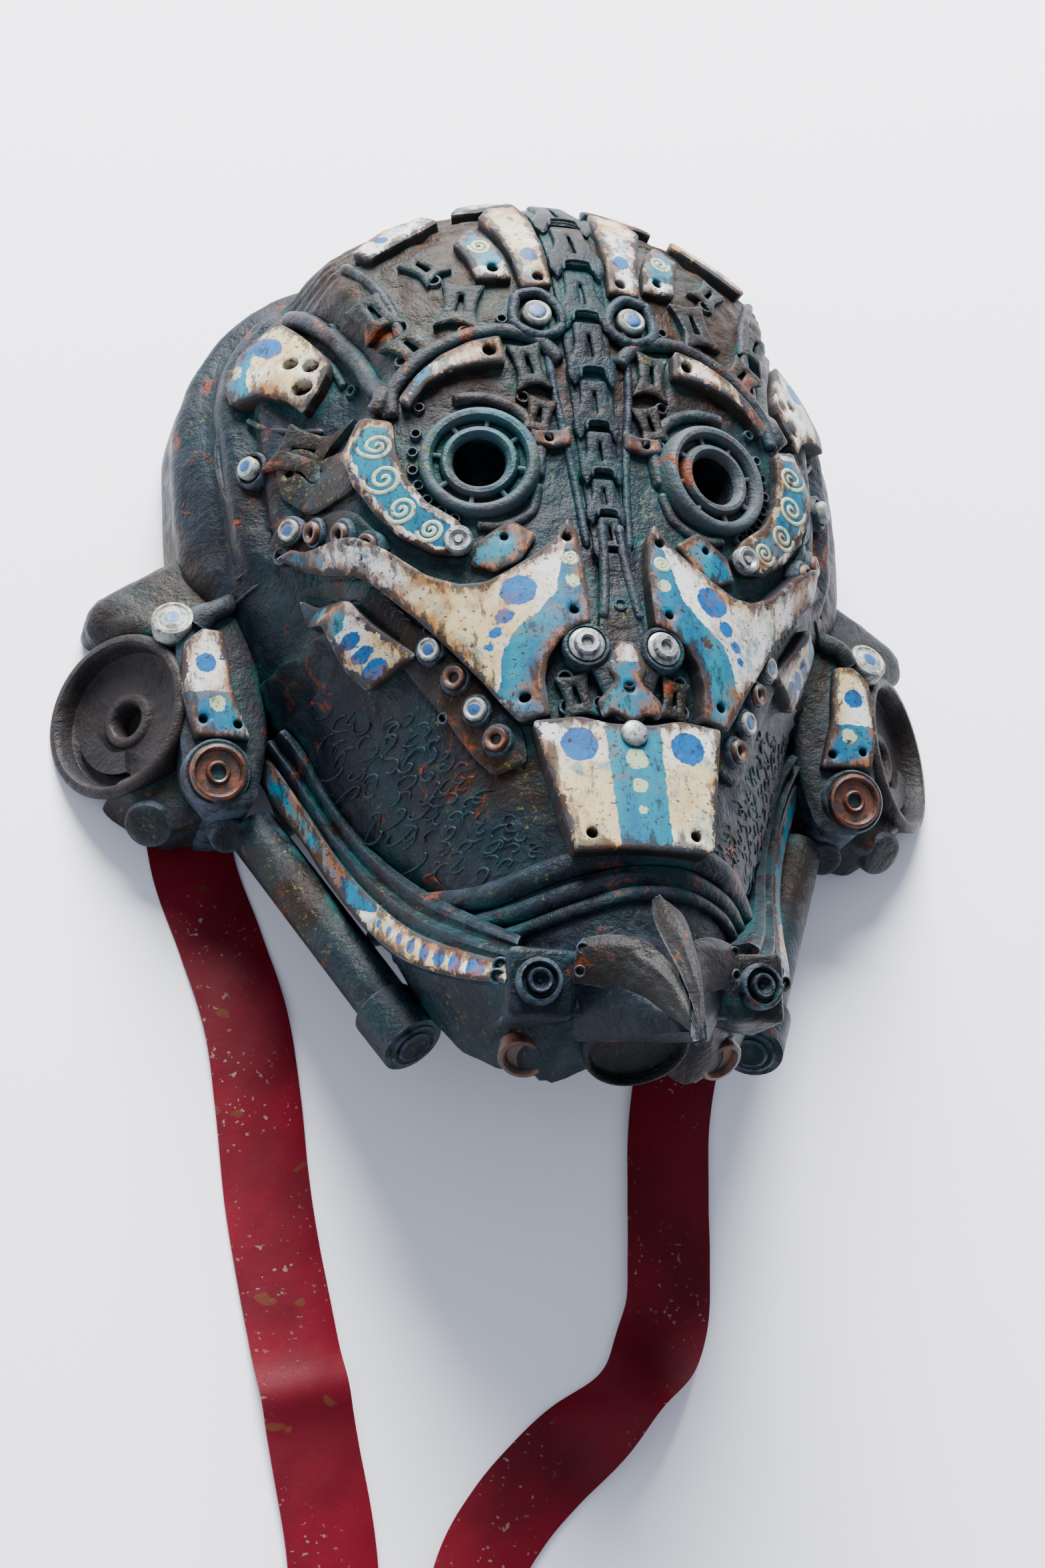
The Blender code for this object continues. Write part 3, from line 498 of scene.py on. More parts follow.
class Shader:
    # Short calls for building a node tree

    def __init__(self, name):
        self.material = bpy.data.materials.new(name)
        self.material.use_nodes = True
        self.nodes = self.material.node_tree.nodes
        self.links = self.material.node_tree.links
        self.body = self.nodes["Principled BSDF"]
        self.coords = self.nodes.new("ShaderNodeTexCoord").outputs["Object"]

    def put(self, value, socket):
        if isinstance(value, (int, float)):
            socket.default_value = value
        elif isinstance(value, tuple):
            socket.default_value = (*value, 1.0) if len(value) == 3 else value
        else:
            self.links.new(value, socket)

    def noise(self, scale, detail=4.0, rough=0.55, stretch=None, warp=0.0):
        n = self.nodes.new("ShaderNodeTexNoise")
        n.inputs["Scale"].default_value = scale
        n.inputs["Detail"].default_value = detail
        n.inputs["Roughness"].default_value = rough
        n.inputs["Distortion"].default_value = warp
        vector = self.coords
        if stretch:
            m = self.nodes.new("ShaderNodeMapping")
            m.inputs["Scale"].default_value = stretch
            self.links.new(vector, m.inputs["Vector"])
            vector = m.outputs["Vector"]
        self.links.new(vector, n.inputs["Vector"])
        return n.outputs["Fac"]

    def ramp(self, value, low, high, outLow=0.0, outHigh=1.0):
        n = self.nodes.new("ShaderNodeMapRange")
        n.interpolation_type = "SMOOTHSTEP"
        self.put(value, n.inputs["Value"])
        for name, v in (("From Min", low), ("From Max", high), ("To Min", outLow), ("To Max", outHigh)):
            n.inputs[name].default_value = v
        return n.outputs["Result"]

    def math(self, kind, a, b=0.0, clamp=False):
        n = self.nodes.new("ShaderNodeMath")
        n.operation = kind
        n.use_clamp = clamp
        self.put(a, n.inputs[0])
        self.put(b, n.inputs[1])
        return n.outputs[0]

    def mix(self, factor, a, b):
        n = self.nodes.new("ShaderNodeMix")
        n.data_type = "RGBA"
        self.put(factor, n.inputs["Factor"])
        self.put(a, n.inputs["A"])
        self.put(b, n.inputs["B"])
        return n.outputs["Result"]

    def paint(self, name):
        n = self.nodes.new("ShaderNodeAttribute")
        n.attribute_name = name
        return n.outputs["Fac"]

    def ridgeline(self, low, high, most):
        n = self.nodes.new("ShaderNodeNewGeometry")
        return self.ramp(n.outputs["Pointiness"], low, high, 0.0, most)

    def crevice(self, distance):
        n = self.nodes.new("ShaderNodeAmbientOcclusion")
        n.samples = 6
        n.inputs["Distance"].default_value = distance
        return self.math("SUBTRACT", 1.0, n.outputs["AO"])

    def bump(self, height, strength, distance, after=None):
        n = self.nodes.new("ShaderNodeBump")
        n.inputs["Strength"].default_value = strength
        n.inputs["Distance"].default_value = distance
        self.put(height, n.inputs["Height"])
        if after is not None:
            self.links.new(after, n.inputs["Normal"])
        return n.outputs["Normal"]

    def finish(self, colour, roughness, metallic=0.0, normal=None, **plain):
        self.put(colour, self.body.inputs["Base Color"])
        self.put(roughness, self.body.inputs["Roughness"])
        self.put(metallic, self.body.inputs["Metallic"])
        for name, value in plain.items():
            self.body.inputs[name].default_value = value
        if normal is not None:
            self.links.new(normal, self.body.inputs["Normal"])
        return self.material


castFinish = {
    "patchScale": 19, "grainScale": 150, "pitScale": 1000,
    "roughness": (0.33, 0.55), "metallic": 0.0, "specular": 0.11,
}


def castMaterial(name, base=None, second=None, rust=0.5, green=1.0, warm=False, ridgeScuffAndHighlight=0.75):
    # Dark cast resin: slate and bronze patches, green and rust in the hollows, painted shade darkening
    # the crevices, and ridges lightened partly by scuffs and partly as a painted highlight
    s = Shader(name)
    f = castFinish
    patch = s.noise(f["patchScale"], 5, 0.62, warp=0.5)
    grain = s.noise(f["grainScale"], 6, 0.68)
    pits = s.noise(f["pitScale"], 3, 0.6)
    bronze = s.ramp(patch, 0.49, 0.66)
    if warm:
        crown = s.math("MULTIPLY", s.paint("worn"), s.ramp(grain, 0.35, 0.6, 0.6, 1.0))
        bronze = s.math("MAXIMUM", bronze, crown)
    colour = s.mix(bronze, base or palette["slate"], second or palette["bronze"])
    colour = s.mix(s.ramp(grain, 0.50, 0.74, 0.0, 0.15), colour, palette["scuffAndHighlight"])
    crevice = s.crevice(0.006)
    hollow = s.ramp(crevice, 0.12, 0.50)
    greenField = s.ramp(s.noise(48, 6, 0.66, warp=0.7), 0.44, 0.60)
    film = s.math("MULTIPLY", s.math("ADD", s.math("MULTIPLY", hollow, 0.9), 0.16), greenField)
    if warm:
        around = s.math("MULTIPLY", s.paint("teal"), s.ramp(grain, 0.40, 0.60, 0.15, 0.85))
        film = s.math("MAXIMUM", film, around)
        colour = s.mix(s.math("MULTIPLY", s.paint("worn"), 0.8, True), colour, palette["crownBrown"])
    colour = s.mix(s.math("MULTIPLY", film, green, True), colour, palette["verdigris"])
    speck = s.ramp(s.noise(620, 3, 0.6), 0.585, 0.66, 0.0, 0.75)
    haze = s.ramp(s.noise(41, 5, 0.6, warp=0.9), 0.50, 0.66, 0.04, 1.0)
    dusting = s.math("MULTIPLY", s.math("MULTIPLY", speck, haze), green, True)
    colour = s.mix(dusting, colour, palette["moss"])
    spread = 0.09 * rust
    rustField = s.ramp(s.noise(58, 7, 0.68, warp=0.7), 0.645 - spread, 0.72 - spread, 0.0, 0.85)
    rustTone = s.mix(s.ramp(pits, 0.4, 0.6), palette["rust"], (0.05, 0.016, 0.007))
    colour = s.mix(rustField, colour, rustTone)
    # painted shade: the cast goes near black where the crevices are deepest
    colour = s.mix(s.ramp(crevice, 0.46, 0.92, 0.0, 0.88), colour, palette["paintedShade"])
    # lighter ridges: partly scuffed wear, partly a painted highlight along the ridges
    worn = s.math("MULTIPLY", s.ridgeline(0.52, 0.60, ridgeScuffAndHighlight), s.ramp(s.noise(210, 4, 0.65), 0.36, 0.60))
    colour = s.mix(worn, colour, palette["scuffAndHighlight"])
    low, high = f["roughness"]
    bumped = s.bump(s.noise(62, 5, 0.62, warp=0.4), 0.55, 0.0030)
    bumped = s.bump(grain, 0.60, 0.0016, bumped)
    bumped = s.bump(pits, 0.45, 0.0004, bumped)
    return s.finish(colour, s.ramp(grain, 0.3, 0.7, low, high), f["metallic"], bumped,
                    **{"Specular IOR Level": f["specular"]})


def enamelMaterial():
    # Worn enamel: painted areas from the piece's distances, stained and chipped towards its edges
    s = Shader("enamel")
    edge = s.paint("edge")
    fine = s.noise(430, 4, 0.62)
    medium = s.noise(95, 5, 0.62, warp=0.3)
    broad = s.noise(36, 4, 0.55)
    brush = s.noise(60, 4, 0.6, stretch=(1.0, 0.22, 1.0))
    jitter = s.ramp(fine, 0.3, 0.7, -0.3, 0.3)
    ground = s.mix(s.ramp(broad, 0.42, 0.60), palette["white"], palette["cream"])
    wash = s.math("MULTIPLY", s.ramp(s.noise(74, 6, 0.68, warp=0.6), 0.50, 0.64, 0.0, 0.75),
                  s.ramp(fine, 0.38, 0.56))
    ground = s.mix(wash, ground, (0.045, 0.150, 0.185))
    tealTone = s.mix(s.ramp(brush, 0.38, 0.64), palette["teal"], palette["seafoam"])
    inTeal = s.ramp(s.math("ADD", s.paint("teal"), jitter), -0.14, 0.14, 1.0, 0.0)
    colour = s.mix(inTeal, ground, tealTone)
    inCream = s.ramp(s.math("ADD", s.paint("cream"), jitter), -0.14, 0.14, 0.85, 0.0)
    colour = s.mix(inCream, colour, (0.27, 0.33, 0.19))
    inBlue = s.ramp(s.math("ADD", s.paint("blue"), jitter), -0.14, 0.14, 1.0, 0.0)
    blueTone = s.mix(s.ramp(medium, 0.4, 0.62), palette["blue"], (0.0, 0.075, 0.22))
    colour = s.mix(inBlue, colour, blueTone)
    rimStain = s.ramp(edge, 0.0, 4.5, 0.14, 0.0)
    stainField = s.math("ADD", s.noise(62, 7, 0.68, warp=0.8), rimStain)
    colour = s.mix(s.ramp(stainField, 0.50, 0.70, 0.0, 0.85), colour, palette["ochre"])
    streak = s.math("ADD", s.noise(260, 6, 0.70, stretch=(1.0, 0.35, 1.0)), rimStain)
    colour = s.mix(s.ramp(streak, 0.545, 0.66, 0.0, 0.80), colour, palette["umber"])
    colour = s.mix(s.ramp(s.noise(760, 3, 0.6), 0.60, 0.66, 0.0, 0.80), colour, palette["umber"])
    chipField = s.math("ADD", s.ramp(edge, 0.15, 2.4, 0.19, 0.0), s.noise(150, 7, 0.70, warp=0.5))
    chip = s.ramp(chipField, 0.630, 0.665)
    metal = s.mix(s.ramp(medium, 0.4, 0.6), (0.026, 0.016, 0.011), (0.024, 0.028, 0.036))
    colour = s.mix(chip, colour, metal)
    glint = s.math("MULTIPLY", s.ridgeline(0.53, 0.60, 0.55), s.ramp(medium, 0.42, 0.56))
    colour = s.mix(glint, colour, (0.27, 0.27, 0.26))
    bare = s.mix(s.ramp(medium, 0.4, 0.6), (0.009, 0.011, 0.015), (0.020, 0.014, 0.010))
    colour = s.mix(s.ramp(edge, -0.5, 0.05, 1.0, 0.0), colour, bare)
    # painted shade: the enamel is darkened in its crevices
    crevice = s.crevice(0.004)
    colour = s.mix(s.ramp(crevice, 0.25, 0.70, 0.0, 0.92), colour, (0.007, 0.013, 0.012))
    rough = s.ramp(s.math("ADD", chip, s.ramp(fine, 0.3, 0.7, 0.0, 0.4)), 0.0, 1.4, 0.46, 0.70)
    bumped = s.bump(chip, 0.5, -0.0003)
    bumped = s.bump(fine, 0.35, 0.00035, bumped)
    return s.finish(colour, rough, 0.0, bumped, **{"Specular IOR Level": 0.12})


def boltMaterial(name, ring, core, amount=0.6, metallic=0.1):
    s = Shader(name)
    grain = s.noise(300, 6, 0.68, warp=0.4)
    colour = s.mix(s.ramp(grain, 0.46, 0.62, 0.0, amount), ring, core)
    jitter = s.ramp(grain, 0.3, 0.7, -0.4, 0.4)
    inBlue = s.ramp(s.math("ADD", s.paint("blue"), jitter), -0.12, 0.12, 1.0, 0.0)
    colour = s.mix(inBlue, colour, palette["blue"])
    colour = s.mix(s.ramp(s.noise(700, 3, 0.6), 0.58, 0.66, 0.0, 0.85), colour, palette["umber"])
    # painted shade: the bolts are darkened in their crevices
    colour = s.mix(s.ramp(s.crevice(0.0030), 0.22, 0.65, 0.0, 0.95), colour, (0.005, 0.007, 0.007))
    bumped = s.bump(grain, 0.5, 0.0005)
    return s.finish(colour, s.ramp(grain, 0.3, 0.7, 0.34, 0.6), metallic, bumped)


castDark = castMaterial("patinatedShell", rust=0.62, green=0.75, warm=True)
castPlain = castMaterial("patinatedRelief", rust=0.4)
castMotif = castMaterial("patinatedMotif", (0.0105, 0.0085, 0.0085), (0.021, 0.0100, 0.0055), rust=0.8)
scrollCast = castMaterial("scrollCast", rust=0.7, green=0.75, ridgeScuffAndHighlight=0.2)
hornBronze = castMaterial("hornBronze", (0.0105, 0.0088, 0.0088), (0.020, 0.0130, 0.0095), 0.6,
                          green=0.3)
podGrey = castMaterial("podDisc", (0.021, 0.017, 0.017), (0.014, 0.013, 0.015), 0.1,
                       green=0.1, ridgeScuffAndHighlight=0.0)
# near black: the speaker's own dark colour, deepened as painted shade; the eye tunnels use it as
# painted shade
speakerBlackAndShade = castMaterial("speakerBlackAndShade", (0.0008, 0.0008, 0.001), (0.0015, 0.0015, 0.002), 0.0,
                            green=0.1, ridgeScuffAndHighlight=0.3)
enamel = enamelMaterial()
rustWasher = boltMaterial("rustWasher", (0.034, 0.018, 0.013), palette["rust"], 0.65)
silverCap = boltMaterial("silverCap", (0.25, 0.26, 0.27), (0.045, 0.060, 0.060), 0.85, 0.5)
enamelWasher = boltMaterial("enamelWasher", (0.21, 0.235, 0.22), (0.055, 0.045, 0.028), 0.85)
print("materials made")

# The shell: outer skin, rim and hollow, as one dense mesh
shell = {
    "spokes": 240, "endSpokes": 16, "rings": 116, "innerRings": 28,
    "rootInset": 26, "spacing": 1.35,       # where the spokes start, and how they crowd to the edge
    "rimTaper": 1.5,
    "drop": (0.08, 0.3, 0.6),       # rows between the outer edge and the rear rim
    "cheekGroove": [(76, 11), (72, -2), (67, -15), (61, -29), (54.5, -42), (47, -54), (40, -65)],
}
eye = {"place": (34, 60), "turn": 16, "hole": 7.2, "ring": 17.0, "proud": 4.5, "spacers": 8,
       "sides": 56}
speakerSeat = {"place": (0, -104.8, 90), "axis": (0, -0.902, 0.431), "behind": 2.0, "fade": 25}


def hump(distance, middle, width):
    return np.exp(-((distance - middle) / width) ** 2)


def outlineAt(turn):
    # The outline's half width and Y, from the chin at 0 to the crown at pi
    edgeY = (face["chinY"] + face["crownY"]) / 2 - (face["crownY"] - face["chinY"]) / 2 * np.cos(turn)
    return curve(edgeY, face["halfWidth"]), edgeY


def reliefAt(x, y):
    # Low carving of the bare skin, in millimetres, and its distance from the outline
    edgeX, edgeY = outlineAt(np.linspace(0, math.pi, 200))
    ax = np.abs(x)
    away = segmentDistance(ax, y, np.stack([edgeX, edgeY], 1), closed=False)
    upper = np.clip((y - 44) / 12, 0, 1)
    drift = away + 1.8 * np.sin(y / 17.0) + 1.2 * lumps(x, y, 30, 9)
    # folds that run along the helmet's edge, with grooves between them
    roll = 3.0 * hump(away, 3.4, 2.6) + 2.6 * hump(drift, 13.5, 2.4)
    roll += 1.5 * hump(drift, 22.5, 2.6) - 2.3 * hump(drift, 8.6, 1.5)
    roll -= 2.1 * hump(drift, 18.3, 1.2)
    roll *= np.clip((curve(y, face["browArc"]) + 2 - np.abs(x)) / -6, 0, 1)
    crown = np.clip((y - 118) / 14, 0, 1) * np.clip((24 - away) / 6, 0, 1)
    fine = 0.55 * np.sin(away * 2.1 + 1.6 * lumps(x, y, 26, 5)) * crown
    lift = upper * roll + fine
    groove = segmentDistance(ax, y, shell["cheekGroove"], closed=False)
    lift -= 1.6 * hump(groove, 0, 1.8)
    oval = np.hypot((ax - 75.5) / 5.4, (y - 14) / 7.2)     # the sunken oval in front of each pod
    lift -= 1.5 * np.clip((1 - oval) * 6, 0, 1) * (oval < 1)
    lift += 0.7 * hump(oval, 1.12, 0.10)
    lift += 0.22 * lumps(x, y, 7, 1) + 0.12 * lumps(x, y, 2.6, 2)
    lift += crownWarmth(x, y) * (0.45 * lumps(x, y, 5, 6) + 0.3 * lumps(x, y, 2.2, 7))
    fromEye = np.hypot(ax - eye["place"][0], y - eye["place"][1])
    lift -= 0.9 * np.clip(1 - fromEye / 26, 0, 1) * (fromEye > eye["ring"])
    return lift, away


def crownWarmth(x, y):
    # 1 on the brown crown between the brow arcs, fading to 0 on the slate sides
    inside = np.clip((curve(y, face["browArc"]) - np.abs(x)) / 8 + 0.4, 0, 1)
    upper = np.clip((y - 72) / 20, 0, 1)
    return inside * upper * 0.85


def eyeFilm(x, y):
    # 1 beside and under the eye rings, where the turquoise film has stayed
    lower = np.hypot((np.abs(x) - 40) / 24, (y - 40) / 20)
    return np.clip(1.25 - lower, 0, 1)


def shellMesh():
    slopeY, slopeZ, slope = face["jawTrim"]
    fall = math.tan(math.radians(slope))

    def surface(spokes, rings, offset, carve):
        edgeX, edgeY = outlineAt(math.pi * np.arange(spokes + 1) / spokes)
        # the outline runs on across the chin and the crown to the middle
        part = np.arange(shell["endSpokes"]) / shell["endSpokes"]
        edgeX = np.concatenate([edgeX[0] * part, edgeX, edgeX[-1] * part[::-1]])
        edgeY = np.concatenate([np.full(len(part), edgeY[0]), edgeY, np.full(len(part), edgeY[-1])])
        share = np.linspace(0, 1, len(edgeX))
        inset = shell["rootInset"]
        rootY = (face["chinY"] + inset) * (1 - share) + (face["crownY"] - inset) * share
        reach = np.ones(len(edgeX))
        for _ in range(60):        # draws each spoke back until its end is above the jaw's cut
            ex, ey = edgeX * reach, rootY + (edgeY - rootY) * reach
            below = heightAt(ex, ey) + offset < slopeZ - (ey - slopeY) * fall
            reach = np.where(below & (ey < -5), reach - 0.012, reach)
        ks = 1 - (1 - np.arange(rings + 1) / rings) ** shell["spacing"]
        x = edgeX[:, None] * ks[None] * reach[:, None]
        y = rootY[:, None] + (edgeY - rootY)[:, None] * ks[None] * reach[:, None]
        lift, away = reliefAt(x, y)
        soft = np.clip(away / 2.0, 0, 1) * np.clip((1.0 - ks[None]) * 40, 0, 1)
        proud = offset + (lift * soft if carve else 0)
        points = skinAt(x, y, proud)
        points[..., 2] = np.maximum(points[..., 2], 0)
        # flattened chin, where the speaker sits
        seat = np.array(speakerSeat["axis"])
        level = seat @ np.array(speakerSeat["place"]) - speakerSeat["behind"] + offset * 0.5
        within = np.clip((speakerSeat["fade"] - np.abs(points[..., 0])) / 9, 0, 1)
        excess = np.clip(points @ seat - level, 0, None) * within
        points = points - excess[..., None] * seat
        return points

    group = newGroup()
    outer = surface(shell["spokes"], shell["rings"], 0.0, True)
    inner = surface(shell["spokes"], shell["innerRings"], -face["wall"], False)
    n = len(outer)
    grounded = (outer[:, -1, 2] < 1.0) | (outer[:, -1, 1] > face["crownY"] - 1)
    foot = outer[:, -1].copy()
    centre = np.array([0, (face["chinY"] + face["crownY"]) / 2])
    flatAway = foot[:, :2] - centre
    flatAway /= np.linalg.norm(flatAway, axis=1, keepdims=True)
    foot[:, :2] -= flatAway * shell["rimTaper"]
    foot[:, 2] = face["rimY"]
    foot = np.where(grounded[:, None], foot, outer[:, -1] + (inner[:, -1] - outer[:, -1]) * 0.3)
    innerFoot = inner[:, -1].copy()
    innerFoot[:, :2] -= flatAway * (face["wall"] + 0.5)
    innerFoot[:, 2] = face["rimY"]
    innerFoot = np.where(grounded[:, None], innerFoot,
                         outer[:, -1] + (inner[:, -1] - outer[:, -1]) * 0.7)
    inner[grounded, -1, :2] -= flatAway[grounded] * 0.5
    drop = [(outer[:, -1] * (1 - part) + foot * part)[:, None] for part in shell["drop"]]
    rows = np.concatenate([outer, *drop, foot[:, None], innerFoot[:, None], inner[:, ::-1]], 1)
    count = rows.shape[1]
    faces = []
    for i in range(n - 1):
        for k in range(count - 1):
            a = i * count + k
            faces.append([a, a + 1, a + count + 1, a + count])
    x, y = rows[..., 0].ravel(), rows[..., 1].ravel()
    addTo(group, rows.reshape(-1, 3), faces, {"worn": crownWarmth(x, y), "teal": eyeFilm(x, y)},
          mirrored=True)
    return group


def cutEyeHoles(obj):
    # Opens the shell and leaves a clean collar inside each eye ring
    bm = bmesh.new()
    bm.from_mesh(obj.data)
    doomed = set()
    for side in (1, -1):
        centre, axis = eyeFrame(side)
        for v in bm.verts:
            p = np.array(v.co) / mm + [0, middleY, -rimLift] - centre
            along = p @ axis
            if abs(along) < 16 and np.linalg.norm(p - along * axis) < eye["hole"] + 1.2:
                doomed.add(v)
    bmesh.ops.delete(bm, geom=list(doomed), context="VERTS")
    bmesh.ops.remove_doubles(bm, verts=bm.verts, dist=0.00001)
    bm.to_mesh(obj.data)
    bm.free()


def eyeFrame(side=1):
    t = math.radians(eye["turn"])
    centre = skinAt(*eye["place"], 0.0) * [side, 1, 1]
    return centre, np.array([math.sin(t) * side, 0, math.cos(t)])


shellPiece = makePiece("shell", shellMesh(), castDark, 60)
cutEyeHoles(shellPiece)
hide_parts("mask")
print("shell made", len(shellPiece.data.polygons))


def makeEyes():
    centre, axis = eyeFrame()
    seatFrame = frameAt(centre, axis)
    r, h, p = eye["ring"], eye["hole"], eye["proud"]
    rings = newGroup()
    # from the back of the collar, round the outside and down the hole
    section = [(h + 1.6, -8.5), (h + 4.0, -8.5), (h + 4.0, -3), (r, -4), (r, p * 0.1),
               (r - 0.2, p * 0.55), (r - 0.9, p * 0.88), (r - 1.9, p), (r - 3.0, p * 0.95),
               (r - 3.7, p * 0.72), (r - 4.1, p * 0.45), (r - 4.2, p * 0.12), (r - 5.6, p * 0.06),
               (r - 5.9, p * 0.3), (r - 6.2, p * 0.6), (r - 6.9, p * 0.82), (r - 8.0, p * 0.86),
               (r - 8.9, p * 0.66), (h + 0.3, p * 0.3), (h + 0.5, -1.0), (h + 0.5, -8.0)]
    local, faces = turnedRing(section, eye["sides"])
    ring = np.tile(np.arange(eye["sides"]), len(section))
    local[:, :2] *= (1 + 0.006 * lumps(ring * 1.0, local[:, 2], 6, 4))[:, None]
    addTo(rings, seated(local, seatFrame), faces, mirrored=True)
    # near-black tubes behind the eye holes: painted shade, so the holes read as shadowed
    tunnel = newGroup()
    wall = [(h + 1.3, p * 0.1), (h + 0.1, p * 0.22), (h - 0.1, -1.0), (h - 2.7, -20), (h + 1.4, -20),
            (h + 5.5, -6), (h + 5.5, -5)]
    local, faces = turnedRing(wall, eye["sides"])
    addTo(tunnel, seated(local, seatFrame), faces, mirrored=True)
    makePiece("eyeShadeTunnels", tunnel, speakerBlackAndShade)
    for k in range(eye["spacers"]):         # little spacers in the groove between the two rings
        a = 2 * math.pi * (k + 0.3) / eye["spacers"]
        path = [[(r - q) * math.cos(a), (r - q) * math.sin(a), p * 0.35] for q in (3.8, 4.9, 6.2)]
        points, faces = tubeMesh(path, 0.8, 8)
        addTo(rings, seated(points, seatFrame), faces, mirrored=True)
    ringCast = castMaterial("eyeRingCast", (0.045, 0.052, 0.058), (0.022, 0.075, 0.095), 0.45,
                            green=1.5)
    makePiece("eyeRings", rings, ringCast)


makeEyes()

# Enamel plates: outlines and painted areas in face millimetres
plates = {
    "wing": {
        "outline": [(80, 48), (76, 49), (66, 43), (57, 35.5), (48, 27), (40, 22.5), (34, 22), (28, 25),
                    (22, 29), (16, 34), (12.2, 40.5), (10, 36), (9, 26), (8.5, 8), (13, 6.5), (17, 3),
                    (20, -2), (21, -8), (20, -18), (27, -19), (31, -13), (35, -6), (42, 4.5), (50, 16),
                    (60, 28), (70, 39.5)],
        "teal": [[(6, 46), (12.5, 36), (15.5, 25), (17, 17), (22, 11), (28, 6), (30.5, 0), (31, -8),
                  (33, -12), (27, -24), (16, -20), (18, -6), (5, 6)],
                 [(90, 52), (72, 52), (68, 40), (75, 38)]],
        "blue": [(26.2, 18.2, 4.5), (29.6, 11.0, 2.2), (32.1, 6.6, 1.7), (33.3, 2.8, 1.2)],
        "cream": [(12.4, 20.5, 2.0)],
        "holes": [(13, 34.3, 1.3), (25.6, -12.5, 1.4), (12.8, 11.5, 1.2)],
        "proud": 5.5,
    },
    "spike": {
        "outline": [(75, 35), (68, 29), (60, 18), (50, 6.4), (56, 3.6), (60, 1.5), (65, 9), (71, 22)],
        "teal": [[(80, 38), (65, 33), (66.5, 19), (72, 18)]],
        "blue": [(64.6, 16.0, 2.3), (61.6, 11.2, 2.3), (58.8, 6.2, 2.9)],
        "cream": [(70, 23.5, 1.5)],
        "proud": 3.6,
    },
    "crownTan": {
        "outline": [(8.5, 119), (17.5, 118), (18.8, 129), (21, 139), (24.5, 148), (20, 155), (11, 157),
                    (9.8, 147), (9.3, 135)],
        "blue": [(13.7, 130.5, 2.7)],
        "holes": [(12.3, 122.3, 1.7)],
        "proud": 3.6,
    },
    "crownTeal": {
        "outline": [(19.5, 121.5), (29.5, 121.3), (31, 129), (34, 137), (28, 143), (23.4, 137),
                    (20.7, 130)],
        "teal": [[(22, 127), (29, 126), (36, 138), (28, 145), (21, 134)]],
        "holes": [(24.6, 125.6, 1.6)],
        "proud": 3.2,
    },
    "crownSide": {
        "outline": [(35, 148), (44, 141), (56, 133.5), (60, 138), (50, 147.5), (38, 153)],
        "blue": [(51.5, 141.2, 1.9)],
        "proud": 3.5,
    },
    "crownTab": {
        "outline": [(10, 158), (24, 152), (31, 152), (27, 158), (12, 163)],
        "teal": [[(8, 164), (20, 152), (12, 150)], [(24, 150), (34, 150), (28, 160), (25, 158)]],
        "proud": 3.5,
    },
    "brow": {
        "outline": [(54, 80), (48.5, 88), (42, 94), (34, 98.3), (25.5, 100.3), (24.5, 91.5), (33, 90.5),
                    (40, 88.5), (46.5, 84.5), (51.5, 77.5)],
        "teal": [[(52, 84), (46, 92), (44, 88), (49, 82)]],
        "holes": [(28.9, 95.3, 1.9)],
        "proud": 4.2,
    },
    "temple": {
        "outline": [(76, 127), (70, 115), (65.5, 104), (69, 96), (73.4, 89.3), (77, 95), (83, 99.6),
                    (89.7, 100), (91, 108), (86, 118)],
        "teal": [[(96, 98), (84.5, 98), (86, 106), (82.5, 116), (79, 124), (90, 124)]],
        "blue": [(79.6, 115.6, 3.2, 1.5, 20)],
        "cream": [(87.4, 110.5, 1.2, 2.0, 0)],
        "holes": [(75.2, 107, 2.0), (70.6, 104.2, 2.2), (73.0, 97.6, 2.6)],
        "proud": 5.0,
    },
    "swirl": {
        "outline": [(62.5, 76.5), (56, 73.5), (55.7, 64), (53.5, 56), (48.5, 48), (41, 42), (37, 36),
                    (40, 31.5), (47, 33), (55, 39), (61, 46.5), (65.5, 56), (67.3, 66)],
        "teal": [[(61.5, 73), (57.3, 71.5), (57, 63), (55, 55), (50, 46.8), (43, 40.8), (40, 34),
                  (46.5, 35), (53.8, 40.8), (59.5, 47.8), (63.8, 57), (65.4, 66)]],
        "proud": 3.5,
    },
    "bar": {
        "outline": [(7.8, 72.5), (12, 70.5), (18, 70.5), (19.5, 66), (13, 65.2), (7.8, 66.5)],
        "teal": [[(5, 76), (22, 76), (22, 60), (5, 60)]],
        "holes": [(14.2, 68.2, 1.3)],
        "proud": 2.6,
    },
    "bridge": {
        "outline": [(2.2, 3), (5.4, -4.5), (3.4, -9), (8.6, -14.5), (7.6, -19.5), (4.6, -18), (0, -21),
                    (-4.6, -18), (-7.6, -19.5), (-8.6, -14.5), (-3.4, -9), (-5.4, -4.5), (-2.2, 3)],
        "teal": [[(-10, -3), (10, -3), (10, -30), (-10, -30)]],
        "holes": [(0, -10.6, 1.5)],
        "proud": 4.6,
    },
    "eyePatch": {
        "outline": [(20, 37), (27, 42), (36, 35.5), (38, 29), (32, 26), (25, 29)],
        "teal": [[(18, 36), (27, 44), (40, 36), (36, 26), (24, 26)]],
        "holes": [(29, 36.5, 1.1)],
        "proud": 2.0,
    },
}
for plate in plates.values():
    plate["holes"] = [circle(*hole) for hole in plate.get("holes", ())]


def makePlates():
    for name, plate in plates.items():
        group = newGroup()
        paints = {colour: plate.get(colour, ()) for colour in ("teal", "blue", "cream")}
        addPlate(group, plate["outline"], plate["proud"], name != "bridge", holes=plate["holes"],
                 sink=2.2, **paints)
        piece = makePiece(name + "Plates", group, enamel, 50)


def noseTop(x, y):
    return 108 + (-20 - y) * 0.105 - 0.0045 * x * x


